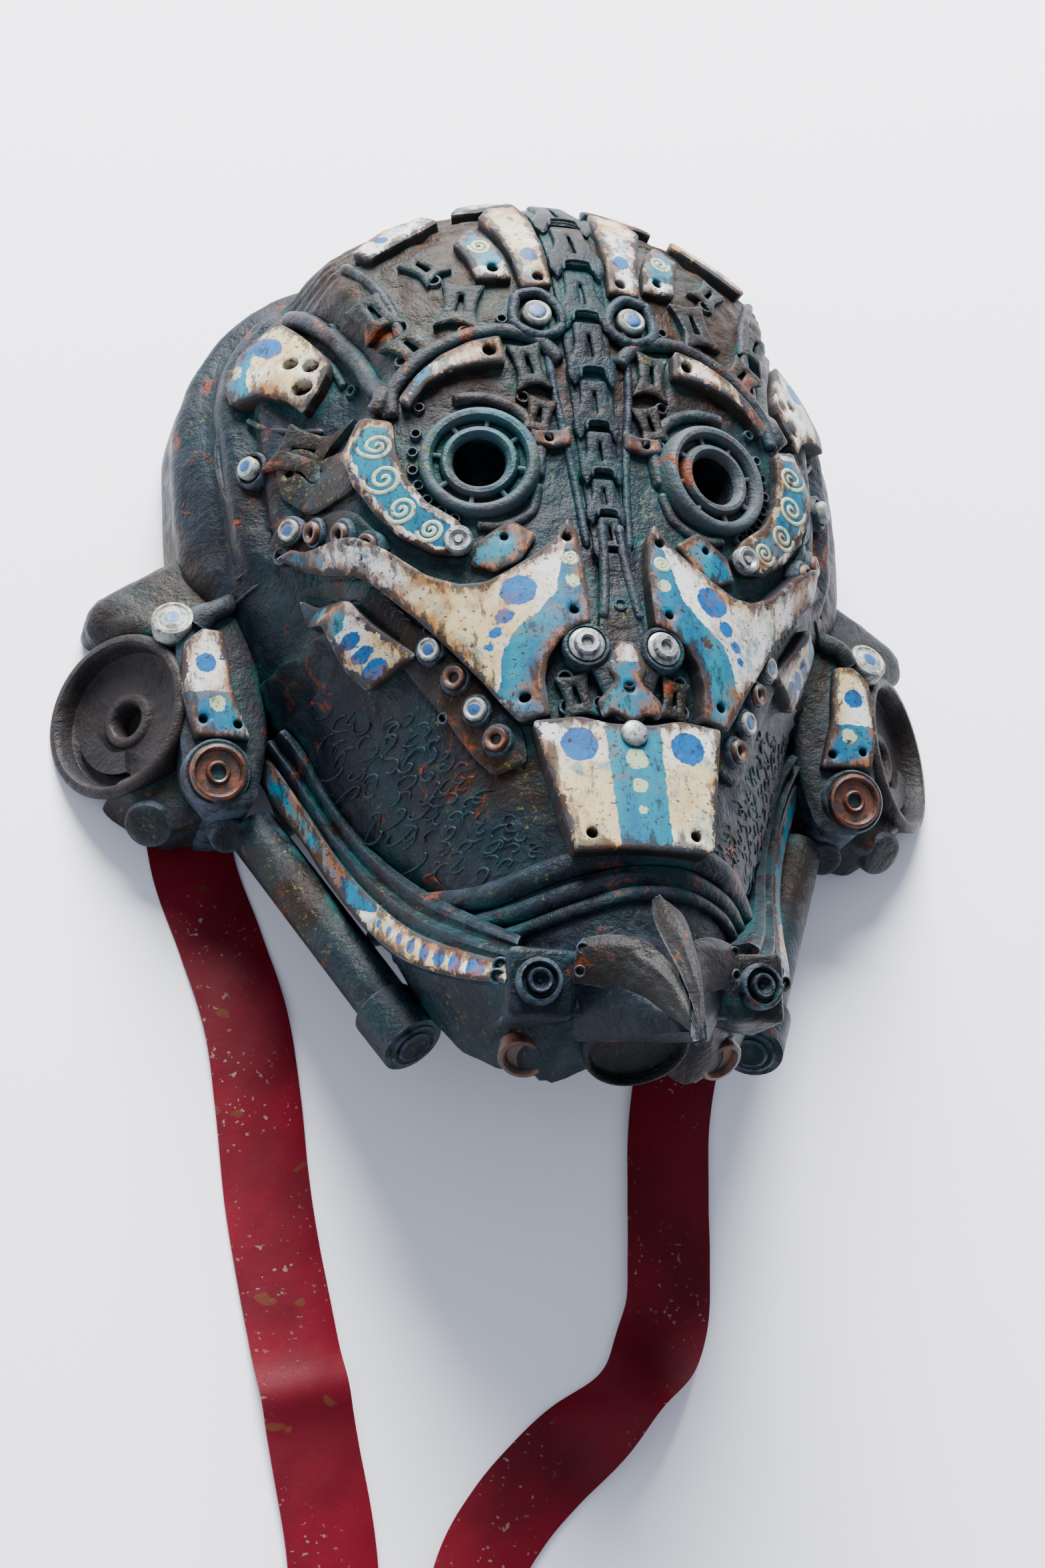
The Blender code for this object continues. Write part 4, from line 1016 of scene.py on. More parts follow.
nosePlate = {
    "outline": [(-26.5, -20), (-19, -58), (19, -58), (26.5, -20), (14, -19), (6, -21), (-6, -21),
                (-14, -19)],
    "teal": [[(-8, -15), (8, -15), (7, -60), (-7, -60)]],
    "blue": [(15.2, -27.4, 5.0), (-15.2, -27.4, 5.0)],
    "cream": [(0, -31.5, 3.1), (0, -39.5, 2.2), (0, -46.5, 1.4)],
    "holes": [circle(14.4, -53.3, 1.6), circle(-14.4, -53.3, 1.6)],
}


def makeNosePlate():
    group = newGroup()
    points, faces, flat, edge = plateMesh(nosePlate["outline"], 0, nosePlate["holes"], sink=3.0,
                                          top=noseTop)
    addTo(group, points, faces, paintFor(flat, edge, nosePlate["teal"], nosePlate["blue"],
                                         nosePlate["cream"]))
    makePiece("nosePlate", group, enamel, 50)


swirls = {"stroke": 0.62, "turns": 1.9,
          "places": [(60, 66.3, 3.9), (58.8, 56.2, 4.5), (54.6, 46.6, 3.9), (47.5, 39.6, 3.3)]}


def makeSwirls():
    # Cream spirals laid on the swirl plates, and a few on the wings and crown
    group = newGroup()
    lines = [(x, y, r, plates["swirl"]["proud"]) for x, y, r in swirls["places"]]
    lines += [(12.6, 27.6, 2.2, plates["wing"]["proud"]), (27, 134, 3.0, plates["crownTeal"]["proud"])]
    for x, y, radius, proud in lines:
        t = np.linspace(0, 1, 44)
        angle = 2 * np.pi * swirls["turns"] * t + 0.7
        px, py = x + radius * t ** 0.8 * np.cos(angle), y + radius * t ** 0.8 * np.sin(angle)
        path = skinAt(px, py, proud + 0.05)
        points, faces = tubeMesh(path, swirls["stroke"], 6, 0.35, normalAt(px, py))
        addTo(group, points, faces, {"cream": np.full(len(points), -5.0)}, mirrored=True)
    makePiece("spirals", group, enamel)


makePlates()
makeNosePlate()
makeSwirls()
print("enamel plates made")

# The spine: bell-shaped links that hook into each other, each with a slot
spine = {
    "openings": [162, 143.6, 124.1, 105.5, 86.5, 69.5, 54.5, 41.5, 30], "proud": 3.0,
    "bed": [(7.6, 163), (7.4, 120), (6.2, 80), (5.0, 46), (4.2, 30), (-4.2, 30), (-5.0, 46), (-6.2, 80),
            (-7.4, 120), (-7.6, 163)],
    "bridge": [(-3.4, 31), (3.4, 31), (4.4, 20), (6.5, 6), (9.5, -4), (6, -14), (3.5, -20), (-3.5, -20),
               (-6, -14), (-9.5, -4), (-6.5, 6), (-4.4, 20)],
    "wall": [(10.8, 158), (11.2, 140), (11.6, 120), (11.8, 100), (11, 84), (8.6, 66), (7.0, 48),
             (6.2, 34)],
}


def linkOutline(top, low, wide, neck):
    span = top - low
    half = [(neck, top + 1.0), (neck * 1.05, top - span * 0.35), (neck * 1.35, top - span * 0.52),
            (wide, top - span * 0.66), (wide * 1.02, top - span * 0.90), (wide * 0.8, low - 1.2),
            (neck * 1.15, low - 0.2), (neck * 0.75, low + span * 0.20)]
    return half + [(-x, y) for x, y in reversed(half)]


def makeSpine():
    group = newGroup()
    stops = spine["openings"]
    addPlate(group, spine["bed"], 1.5, mirrored=False, ease=1.5)
    for i, (top, low) in enumerate(zip(stops, stops[1:])):
        size = 1 - 0.055 * i
        wide, neck = 8.4 * size, 4.9 * size
        span = top - low
        slot = [(-0.55 * size, top - span * 0.16), (0.55 * size, top - span * 0.16),
                (0.9 * size, top - span * 0.56), (-0.9 * size, top - span * 0.56)]
        addPlate(group, linkOutline(top, low, wide, neck), spine["proud"] + 0.7 * (i % 2),
                 mirrored=False, holes=[roundLoop(slot, 0.4)], step=1.2, ease=0.9)
        arch = [(-neck * 0.95, low + span * 0.06), (-neck * 0.7, low + span * 0.24),
                (neck * 0.7, low + span * 0.24), (neck * 0.95, low + span * 0.06)]
        addRidge(group, arch, 0.55, 20, spine["proud"] + 0.8, mirrored=False)
    addPlate(group, spine["bridge"], 3.6, mirrored=False, ease=1.5)
    addRidge(group, [(2.4, 40), (3.2, 24), (5.0, 10)], 1.5, 30, 3.4)
    for x, y in ((0, -9), (0, 14)):
        addTurned(group, [(1.9, 2.5), (1.9, 4.0), (1.5, 4.3), (1.1, 4.0), (0.9, 3.2)], skinFrame(x, y),
                  18, mirrored=False)
    addRidge(group, spine["wall"], 1.3, 70, 0.2)
    makePiece("spineLinks", group, castPlain)


def addLink(group, x, y, length, width, angle, proud):
    # A bone-shaped link with a slot, turned by angle
    c, s = math.cos(math.radians(angle)), math.sin(math.radians(angle))

    def place(loop):
        return [(x + u * c - v * s, y + u * s + v * c) for u, v in loop]
    w, h = width / 2, length / 2
    outline = [(-w, h), (-w * 0.2, h * 0.86), (w * 0.2, h * 0.86), (w, h), (w * 0.78, h * 0.42),
               (w * 0.70, -h * 0.2), (w * 1.1, -h), (w * 0.3, -h * 0.74), (-w * 0.3, -h * 0.74),
               (-w * 1.1, -h), (-w * 0.70, -h * 0.2), (-w * 0.78, h * 0.42)]
    slot = roundLoop([(-w * 0.11, h * 0.45), (w * 0.11, h * 0.45), (w * 0.19, -h * 0.3),
                      (-w * 0.19, -h * 0.3)], 0.3)
    addPlate(group, place(outline), proud, holes=[np.array(place(slot))], step=1.4, ease=0.8)


def addEyelet(group, x, y, radius, proud):
    # A small raised ring with a sunken middle
    section = [(radius * 1.45, -1.5), (radius * 1.45, 0.5), (radius * 1.3, 0.95), (radius, 0.95),
               (radius * 0.8, 0.2), (radius * 0.72, -0.8), (radius * 0.3, -0.7)]
    addTurned(group, section, skinFrame(x, y, proud), 18)


motifs = {
    # place, length, width, angle, height
    "links": [(35, 112.5, 17, 12, 12, 2.6), (49, 99, 12, 11, -38, 2.6), (57, 113, 15, 9, -22, 2.2),
              (43, 128, 12, 9, -40, 2.2), (18, 91, 16, 10, -8, 2.8), (16.5, 75, 13, 9, 14, 2.4),
              (13.4, -12.5, 14, 9, -10, 2.6), (74, 78, 17, 15, -58, 2.8)],
    "eyePanel": [(82, 80), (75, 80.5), (67, 72), (64.8, 62), (66, 55), (72, 57), (80, 66)],
    "panelSlot": [(70, 70), (76, 76), (77.5, 74), (71.5, 67)],
    # place, radius
    "eyelets": [(34.5, 103.4, 1.7), (29.8, 104.2, 1.8), (52, 95, 1.5), (18.2, 69, 1.5),
                (20.5, 81.5, 1.4), (16, -6.5, 1.7), (15.8, -14.8, 1.8), (7.5, -14, 1.4),
                (44.8, -12, 1.2), (40, 5.5, 1.3), (48, 12.6, 1.4), (31.5, 15.0, 1.1), (80.5, 49.8, 2.0),
                (59.5, 80.6, 1.9), (41, 123, 1.6), (66, 118, 1.3), (62, 95, 1.3), (24, 108, 1.2)],
    "eyeDots": [(48.9, 78.8), (50.4, 70.4), (51.6, 64.6), (51.8, 59.0), (50.6, 54.2), (48.4, 49.6),
                (45, 45.8), (41.6, 43.2)],
    # places, radius, points, lift, flatness: brow arcs round the eye, and the temple's ridges
    "ridges": [([(56.5, 76), (55.5, 84), (51, 91.5), (44, 97.5), (35, 102), (25, 104), (15, 101.5),
                 (8.5, 94)], 2.4, 70, 0.8, 0.9),
               ([(74, 131), (70, 124), (65, 114), (61, 104), (58.5, 94), (57.5, 84), (60, 78)],
                3.1, 70, 0.8),
               ([(79, 131), (73, 119), (67, 107), (64, 97)], 1.4, 50, 0.4),
               ([(63, 136), (57, 125), (53, 113), (52, 103)], 1.7, 50, 0.4),
               ([(18, 56), (17, 66), (21, 76), (30, 81), (40, 81)], 2.0, 60, 0.2),
               ([(18, 54), (21, 45), (29, 40.5), (36, 41)], 1.6, 40, 0.1),
               ([(93, 107), (94, 98), (95, 88), (94, 78), (92, 70)], 1.2, 50, 0.4),
               ([(88, 96), (84, 91), (78, 87), (70, 84)], 1.0, 40, 0.3),
               ([(79, 84), (74, 83), (66, 78)], 0.8, 30, 0.4)],
    # outline, height, eased corners: the ledge below each wing, and the pads under the row of bolts
    "ledges": [([(53, 17), (47, 11), (40, 0), (30, -16), (27, -20), (26, -29), (33.5, -31.5), (38, -25),
                 (44, -13), (50, -2), (56, 9)], 1.6, 2.0),
               ([(81, 60), (84, 53), (74, 45), (64, 34), (57, 37), (63, 45), (70, 55)], 1.4, 2.5),
               ([(77, 38), (70, 33), (61, 21), (53, 10), (49, 7), (52, 16), (60, 28), (70, 38)], 1.2,
                1.0)],
}


def makeMotifs():
    # Dark links, eyelets, ridges and tabs between the enamel plates
    group = newGroup()
    for link in motifs["links"]:
        addLink(group, *link)
    holes = [roundLoop(motifs["panelSlot"], 0.4), circle(78, 73, 1.1)]
    addPlate(group, motifs["eyePanel"], 2.2, holes=holes, ease=2.0)
    for eyelet in motifs["eyelets"]:
        addEyelet(group, *eyelet, 0.6)
    for x, y in motifs["eyeDots"]:
        addEyelet(group, x, y, 1.15, 0.3)
    for ridge in motifs["ridges"]:
        addRidge(group, *ridge)
    for k in range(3):         # short strokes on the temple panel and the cheek, not letters
        addRidge(group, [(86, 57 - 6 * k), (91, 55 - 6 * k)], 0.55, 10, 0.2)
    for k in range(8):
        x, y = 64.5 - 1.55 * k, 31.5 - 2.1 * k
        addRidge(group, [(x - 1.2, y + 0.2), (x + 0.6, y + 1.6 - (k % 3) * 0.6), (x + 1.6, y - 1.2)],
                 0.38, 12, 1.0)
    for outline, proud, ease in motifs["ledges"]:
        addPlate(group, outline, proud, ease=ease)
    makePiece("castMotifs", group, castMotif)


cheek = {"area": [(70, 5), (63, -4), (52, -8), (43, -22), (36, -38), (25, -50), (25, -55), (38, -56),
                  (49, -46), (59, -30), (66, -14)],
         "box": ((24, -57), (72, 6)), "tries": 9000, "curls": 260,
         "apart": 2.9, "stroke": 0.40, "stride": 0.55, "lift": -0.02}


def makeCurls():
    # Fine raised scrolls over both cheeks
    group = newGroup()
    placed = []
    tries = rng.uniform(*cheek["box"], (cheek["tries"], 2))
    for x, y in tries:
        if len(placed) >= cheek["curls"] or not insidePolygon(np.array(x), np.array(y), cheek["area"]):
            continue
        if any(math.hypot(x - a, y - b) < cheek["apart"] for a, b in placed):
            continue
        placed.append((x, y))
        heading, bend = rng.uniform(0, 2 * math.pi), rng.choice((-1, 1)) * rng.uniform(0.5, 0.9)
        steps = int(rng.integers(8, 17))
        px, py, line = x, y, []
        for k in range(steps):
            line.append((px, py))
            heading += bend * (1 - k / steps) ** 1.3
            px += cheek["stride"] * math.cos(heading)
            py += cheek["stride"] * math.sin(heading)
        line = np.array(line)
        path = skinAt(line[:, 0], line[:, 1], cheek["lift"])
        radii = cheek["stroke"] * np.clip(np.arange(steps)[::-1] * 0.2 + 0.3, 0.3, 1)
        points, faces = tubeMesh(path, radii, 6, 1.0, normalAt(line[:, 0], line[:, 1]))
        addTo(group, points, faces, mirrored=True)
    makePiece("cheekScrolls", group, scrollCast)


bolts = {
    "washer": [(4.6, -2.0), (4.6, 1.2), (4.2, 1.9), (3.5, 2.0), (3.4, 1.4)],
    "rustyHead": [(3.3, 1.0), (3.3, 3.0), (2.9, 3.5), (2.2, 3.5), (1.6, 3.0), (1.3, 2.2), (1.2, 1.6)],
    "dottedHead": [(3.3, 1.0), (3.3, 2.6), (3.0, 3.2), (2.5, 3.3), (1.9, 2.9), (1.7, 3.0), (1.0, 3.1)],
    # along the wings: place, and whether the head is rusty
    "row": [(47.2, 6.9, False), (41.6, -2.6, True), (37, -12.6, False), (32.4, -22, True),
            (77.6, 55.2, False), (71.8, 51.4, True), (67.2, 45, True), (62, 38.6, True)],
    "templeWasher": [(5.6, -2), (5.6, 1.0), (5.0, 1.8), (4.3, 1.6), (4.0, 0.4)],
    "templeHead": [(3.4, -1), (3.4, 3.2), (2.8, 4.0), (1.0, 4.3)],
    "teardrop": [(19.5, 115.6), (13, 117.2), (7.6, 112), (7.4, 105.2), (13.8, 101.8), (20.6, 106)],
    "forehead": [(4.4, -2), (4.4, 2.0), (4.1, 2.9), (3.4, 3.4), (2.7, 3.2), (2.5, 3.4), (1.6, 3.6),
                 (0.6, 3.6)],
    "capWasher": [(6.6, -4.5), (6.6, 0.6), (6.1, 1.3), (5.4, 1.3), (5.1, 0.7), (4.6, 0.6)],
    "cap": [(4.9, 0.2), (4.9, 1.2), (4.4, 1.7), (3.7, 1.8), (3.6, 2.8), (3.1, 3.3), (2.0, 3.35),
            (1.6, 2.9), (1.3, 2.1), (0.6, 2.0)],
    "noseWasher": [(3.7, -0.5), (3.7, 1.4), (3.2, 2.0), (1.8, 2.3), (0.8, 2.35)],
    "patchRivet": [(4.0, -1), (4.0, 1.3), (3.5, 1.9), (2.6, 1.9), (2.2, 1.3), (1.6, 0.9), (1.3, 1.0),
                   (1.0, 1.6)],
}


def makeBolts():
    dark, rusty, silver, dotted = newGroup(), newGroup(), newGroup(), newGroup()
    for x, y, isRusty in bolts["row"]:
        seatFrame = skinFrame(x, y, 1.2)
        addTurned(dark, bolts["washer"], seatFrame)
        if isRusty:
            addTurned(rusty, bolts["rustyHead"], seatFrame)
        else:
            addTurned(dotted, bolts["dottedHead"], seatFrame, dot=1.6)
    seatFrame = skinFrame(87.0, 78.5, 0.5)
    addTurned(dark, bolts["templeWasher"], seatFrame)
    addTurned(dotted, bolts["templeHead"], seatFrame, dot=1.7)
    # forehead bolts in their teardrop collars
    path, normals = skinPath(bolts["teardrop"] + bolts["teardrop"][:1], 60, 1.8)
    points, faces = tubeMesh(path, 1.7, 10, 1.0, normals)
    addTo(dark, points, faces, mirrored=True)
    addTurned(dotted, bolts["forehead"], skinFrame(14.0, 109.6), 32, dot=2.5)
    # bright cap bolts beside the nose bridge
    seatFrame = skinFrame(10.3, 1.6, 3.4)
    addTurned(dark, bolts["capWasher"], seatFrame, 32)
    addTurned(silver, bolts["cap"], seatFrame, 32)
    # washer over the top of the nose plate, and a rivet on each eye patch
    seatFrame = frameAt((0, -24.2, float(noseTop(0, -24.2)) - 0.4), (0, 0.05, 1))
    addTurned(silver, bolts["noseWasher"], seatFrame, mirrored=False)
    addTurned(silver, bolts["patchRivet"], skinFrame(40.6, 35.6, 3.4))
    makePiece("boltWashers", dark, castPlain)
    makePiece("rustBolts", rusty, rustWasher)
    makePiece("capBolts", silver, silverCap)
    makePiece("dotBolts", dotted, enamelWasher)


makeSpine()
makeMotifs()
makeCurls()
makeBolts()
print("spine, motifs and bolts made")

# Jaw band: its two edges run from the ear pod to the chin
jaw = {
    "outer": [(86, 0, 17), (80, -13, 21), (73, -28, 28), (67, -44, 36), (61, -61, 50), (55, -75, 66),
              (47, -85, 84), (38, -92, 101)],
    "inner": [(78, 4, 34), (73, -2, 34), (67, -15, 36), (61, -29, 42), (55, -42, 52), (48, -55, 66),
              (41, -66, 81), (32, -78, 98)],
    "depth": 13.0, "lift": (0.35, -0.2, 1.0),
    "bandSteps": 90, "stripSteps": 150, "stripColumns": 16,
    "section": [(0.0, -1.0), (0.05, 0.4), (0.12, 1.5), (0.19, 1.2), (0.25, -0.6), (0.30, -0.9),
                (0.35, 0.6), (0.41, 1.9), (0.48, 1.5), (0.53, 0.0), (0.57, -0.4)],
    "strip": (0.585, 1.0), "stripLift": 1.5, "stripLength": 132,
    "tealEnd": 74,              # blue near the pod up to here, pale beyond
    # ovals along the strip: distance from the pod, radius
    "ovals": [(80, 0.9), (85, 1.2), (90, 1.5), (95.5, 1.8), (101, 2.1), (106.8, 2.4), (113, 2.7),
              (120, 3.3)],
}


def jawCurves(count):
    inner = smoothPath(jaw["inner"], count)
    outer = smoothPath(jaw["outer"], count)
    return inner, outer


def makeJaw():
    lift = np.array(jaw["lift"])
    lift /= np.linalg.norm(lift)
    count = jaw["bandSteps"]
    inner, outer = jawCurves(count)
    across = outer - inner
    t = np.linspace(0, 1, count)
    rows = [inner - lift * jaw["depth"]]
    for share, height in jaw["section"]:
        wobble = 0.15 * lumps(t * 90, share * 30, 5, 6)
        rows.append(inner + across * share + lift * (height + wobble)[:, None])
    rows.append(inner + across * 0.6 + lift * 0.2)
    rows.append(outer + lift * 0.6)
    rows.append(outer - lift * 4)
    rows.append(outer - lift * jaw["depth"] * 0.8)
    points = np.stack(rows, 1)
    band = newGroup()
    addTo(band, points.reshape(-1, 3), loopFaces(count, points.shape[1]), mirrored=True)
    makePiece("jawBands", band, castPlain)
    # enamel strip along the outer edge, with growing ovals towards the chin
    cols = jaw["stripColumns"]
    low, high = jaw["strip"]
    shares = np.linspace(low, high, cols)
    count = jaw["stripSteps"]
    inner, outer = jawCurves(count)
    across = outer - inner
    t = np.linspace(0, 1, count)
    length = t * jaw["stripLength"]
    width = np.linalg.norm(across, axis=1)
    grid = inner[:, None] + across[:, None] * shares[None, :, None]
    rise = jaw["stripLift"] * (1 - np.abs(np.linspace(-1, 1, cols)) ** 6 * 0.7)
    grid = grid + lift * rise[None, :, None]
    taper = np.clip(t / 0.08, 0.15, 1)
    mid = grid.mean(1, keepdims=True)
    grid = mid + (grid - mid) * taper[:, None, None]
    u = np.broadcast_to(length[:, None], (count, cols)).ravel()
    v = ((shares[None] - (low + high) / 2) * width[:, None]).ravel()
    blue = np.min([(np.hypot((u - a) * 1.15, v * 0.72) - r) for a, r in jaw["ovals"]], axis=0)
    teal = u - jaw["tealEnd"] + 4 * np.sin(v * 0.6)
    edge = np.broadcast_to(np.minimum(shares - low, high - shares)[None], (count, cols))
    edge = edge * width[:, None]
    under = grid - lift * 3.0
    rows = np.concatenate([grid, under[:, ::-1]], 1)

    def both(values, fill):
        return np.concatenate([values.reshape(count, cols), np.full((count, cols), fill)], 1).ravel()
    strip = newGroup()
    paint = {"edge": both(edge, bareEdge), "teal": both(teal, farAway), "blue": both(blue, farAway)}
    addTo(strip, rows.reshape(-1, 3), loopFaces(count, rows.shape[1]), paint, mirrored=True)
    makePiece("jawStrips", strip, enamel)
    holes = newGroup()
    for share in (0.68, 0.9):
        k = int(count * 0.965)
        place = inner[k] + across[k] * share + lift * 1.5
        section = [(2.2, -1), (2.2, 0.4), (1.9, 0.7), (1.5, 0.6), (1.2, -0.4), (0.6, -0.3), (0.5, 0.5)]
        addTurned(holes, section, frameAt(place, (0.3, -0.35, 0.9)), 20)
    makePiece("stripEyelets", holes, castPlain)


chin = {
    # corners, mirrored, eased edges
    "blocks": {
        "corner": ([(21, -84, 107), (37.5, -83, 106), (38.5, -101, 101), (21, -102, 104), (15, -84, 83),
                    (36, -82, 81), (37, -99, 81), (14, -97, 83), (15, -84, 100), (15, -97, 100)],
                   True, 2.0),
        "underJaw": ([(13, -80, 90), (46, -77, 82), (57, -62, 50), (47, -60, 41), (48, -79, 47),
                      (45, -89, 55), (39, -99, 61), (31, -105, 66), (20, -105, 71), (16, -98, 90),
                      (32, -94, 91), (20, -66, 88), (30, -62, 60)], True, 2.0),
        "chin": ([(-23, -83, 103), (23, -83, 103), (-23, -101, 104), (23, -101, 104), (-17, -98, 82),
                  (17, -98, 82), (-20, -83, 80), (20, -83, 80)], False, 1.5),
    },
    # tubes under the jaw: radius and both ends
    "tubes": ((7.5, (84, -20, 14), (50, -90, 47)), (9.2, (55, -81, 42), (49, -93, 48))),
    "tubeEnd": ((49, -93, 48.0), (-6, -12, 6.0)),
    "endRings": ((7.2, 0.7), (5.0, 1.2), (2.0, 0.6)),
    # turned pieces: place, direction, section
    "boss": ((30, -92.5, 104), (0.12, -0.14, 1),
             [(6.2, -3), (6.2, 2.4), (5.8, 3.2), (5.0, 3.4), (4.4, 2.4), (4.2, 1.6), (3.6, 1.6),
              (3.3, 3.6), (2.9, 4.2), (2.2, 4.0), (1.7, 3.0), (0.9, 2.4), (0.5, 2.8)]),
    "rustyBoss": ((27, -103.0, 77), (0.3, -0.80, 0.52),
                  [(6.5, -6), (6.5, 2.6), (6.0, 3.4), (5.0, 3.6), (4.4, 3.0), (4.0, 2.0), (1.5, 1.8)]),
    "speaker": [(14.4, -14), (14.4, 0.8), (14.0, 1.6), (13.4, 1.7), (12.8, 1.1), (12.6, 0.1),
                (12.2, -0.6), (7, -0.8), (2, -0.9)],
}


def makeChin():
    # Corner blocks, under-jaw arms and tubes, chin block and speaker
    cast, speaker, rusty = newGroup(), newGroup(), newGroup()
    for name, (points, mirrored, ease) in chin["blocks"].items():
        out, faces = hullMesh(points, ease, rough=0.25, seed=len(name))
        addTo(cast, out, faces, mirrored=mirrored)
    for radius, a, b in chin["tubes"]:
        ups = np.tile([0.3, 0.2, 1.0], (30, 1))
        points, faces = tubeMesh(np.linspace(a, b, 30), radius, 28, 1.0, ups)
        addTo(cast, points, faces, mirrored=True)
    for radius, out in chin["endRings"]:
        addTurned(cast, [(radius, -1.5), (radius, out), (radius - 0.8, out + 0.4), (radius - 1.5, out)],
                  frameAt(*chin["tubeEnd"]))
    place, way, section = chin["boss"]
    addTurned(cast, section, frameAt(place, way), 32)
    makePiece("chinCast", cast, castPlain)
    # speaker in near black, its own dark colour deepened as painted shade
    addTurned(speaker, chin["speaker"], frameAt(speakerSeat["place"], speakerSeat["axis"]), 48,
              mirrored=False)
    makePiece("chinSpeaker", speaker, speakerBlackAndShade)
    place, way, section = chin["rustyBoss"]
    addTurned(rusty, section, frameAt(place, way))
    makePiece("underJawBolts", rusty, rustWasher)


lips = {      # places along each fold, and its radius
    "upper": ([(-55, -52), (-48, -56.5), (-39, -61), (-31, -61.6), (-16, -58.4), (0, -56.2), (18, -56),
               (31, -58.6), (39, -63), (44, -69), (46, -75)], 4.3),
    "middle": ([(-54, -57), (-48.5, -61.5), (-39.5, -67), (-30, -68.6), (-16, -66), (-2, -62.8),
                (12, -62.4), (25, -64.4), (35, -68.5), (40, -74)], 3.3),
    "lower": ([(-50, -66), (-46, -68.5), (-38, -72.5), (-29, -73.6), (-16, -71), (-2, -67.8),
               (12, -67.2), (24, -69), (32, -73), (36, -78)], 2.5),
}


def makeLips():
    group = newGroup()
    for places, radius in lips.values():
        path, normals = skinPath(places, 120, 0.2)
        thick = radius * (0.85 + 0.15 * lumps(np.arange(120) / 9.0, np.zeros(120), 1, 4))
        points, faces = tubeMesh(path, thick, 14, 0.85, normals)
        addTo(group, points, faces)
    makePiece("lipFolds", group, castMaterial("lipCast", rust=0.8, green=1.3))


beak = {
    # rows of each blade from one edge to the other, ending at the tip
    "sideHorn": [[(20, -83, 111.5), (13.5, -83.2, 116), (7, -86, 121), (1.8, -93, 124.6),
                  (0.1, -103, 130.4), (0.1, -117, 137.6)],
                 [(22, -86, 112.5), (15.5, -86.8, 117), (9, -90.4, 121), (4, -97, 126),
                  (1.4, -105.5, 131.2), (0.2, -117, 137.5)],
                 [(22.5, -90, 111), (17, -92, 114.5), (11.5, -95, 118), (6.2, -101, 123.6),
                  (2.6, -108, 129.6), (0.3, -117.1, 137.3)],
                 [(22, -93.5, 107.5), (17, -95.3, 110.5), (11.6, -98, 114.5), (6.6, -103.4, 121),
                  (2.8, -109.5, 128.5), (0.4, -117.2, 137)]],
    "leaf": [[(-0.6, -72.5, 113), (-2.6, -79.5, 118.5), (-2.6, -86.5, 123.5), (-1.2, -96, 129),
              (-0.2, -106, 133.6), (-0.1, -117, 138)],
             [(0.9, -71.5, 115), (1.6, -78.5, 122), (2.2, -86, 127.4), (2.6, -96, 132),
              (1.8, -106, 135.6), (0, -117, 138)],
             [(2.4, -72.5, 113), (5.2, -77.5, 118), (5.8, -86, 123), (4.8, -96, 128.8),
              (3.2, -106, 133.4), (0.2, -117, 138)]],
    "core": [(0, -78, 104), (0, -88, 113), (0, -104, 123), (0, -113, 131), (9, -91, 112),
             (-9, -91, 112), (10, -99, 111), (-10, -99, 111), (0, -109, 118), (20, -86, 106),
             (-20, -86, 106), (21, -97, 102), (-21, -97, 102), (16, -84, 98), (-16, -84, 98),
             (19, -105, 94), (-19, -105, 94)],
    "screws": ((20.4, -86.0, 113.0), (21.0, -91.6, 111.2)),
}


def makeBeak():
    # Curved horn blades over a core, overlapping at a central leaf that ends in the point
    group = newGroup()

    def horn(rows, mirrored, thick=2.2):
        grid = np.stack([smoothPath(r, 40) for r in rows], 0)
        fine = np.stack([smoothPath(grid[:, k], 24) for k in range(grid.shape[1])], 1)
        a, b, _ = fine.shape
        du, dv = np.gradient(fine, axis=0), np.gradient(fine, axis=1)
        n = np.cross(du, dv)
        n /= np.linalg.norm(n, axis=-1, keepdims=True) + 1e-9
        n *= np.sign(n[..., 2:3] + 1e-9)
        uu, vv = np.meshgrid(np.arange(a), np.arange(b), indexing="ij")
        fine = fine + n * (0.22 * lumps(uu * 1.0, vv * 0.35, 2.2, 8))[..., None]
        lower = fine - n * thick
        ids = np.arange(a * b).reshape(a, b)
        faces = []
        for i in range(a - 1):
            for j in range(b - 1):
                faces.append([ids[i, j], ids[i + 1, j], ids[i + 1, j + 1], ids[i, j + 1]])
                faces.append([a * b + ids[i, j], a * b + ids[i, j + 1], a * b + ids[i + 1, j + 1],
                              a * b + ids[i + 1, j]])
        rim = list(ids[0, :]) + list(ids[1:, -1]) + list(ids[-1, -2::-1]) + list(ids[-2:0:-1, 0])
        for p, q in zip(rim, rim[1:] + rim[:1]):
            faces.append([p, q, a * b + q, a * b + p])
        addTo(group, np.concatenate([fine.reshape(-1, 3), lower.reshape(-1, 3)]),
              [[int(k) for k in f] for f in faces], mirrored=mirrored)
    horn(beak["sideHorn"], True)
    horn(beak["leaf"], False, 3.4)
    for place in beak["screws"]:     # two at the root of each side horn
        addTurned(group, [(1.7, -1.5), (1.7, 0.5), (1.4, 0.9), (1.0, 0.7), (0.8, -0.3), (0.4, -0.3)],
                  frameAt(place, (0.35, -0.3, 0.9)), 18)
    makePiece("beakHorns", group, hornBronze)
    body = newGroup()
    out, faces = hullMesh(beak["core"], 1.0, rough=0.35, seed=5)
    addTo(body, out, faces)
    beakCast = castMaterial("beakCast", (0.0045, 0.0065, 0.0115), rust=0.6, green=0.4, ridgeScuffAndHighlight=0.3)
    makePiece("beakBody", body, beakCast)


makeJaw()
makeChin()
makeLips()
makeBeak()
print("jaw, chin and beak made")

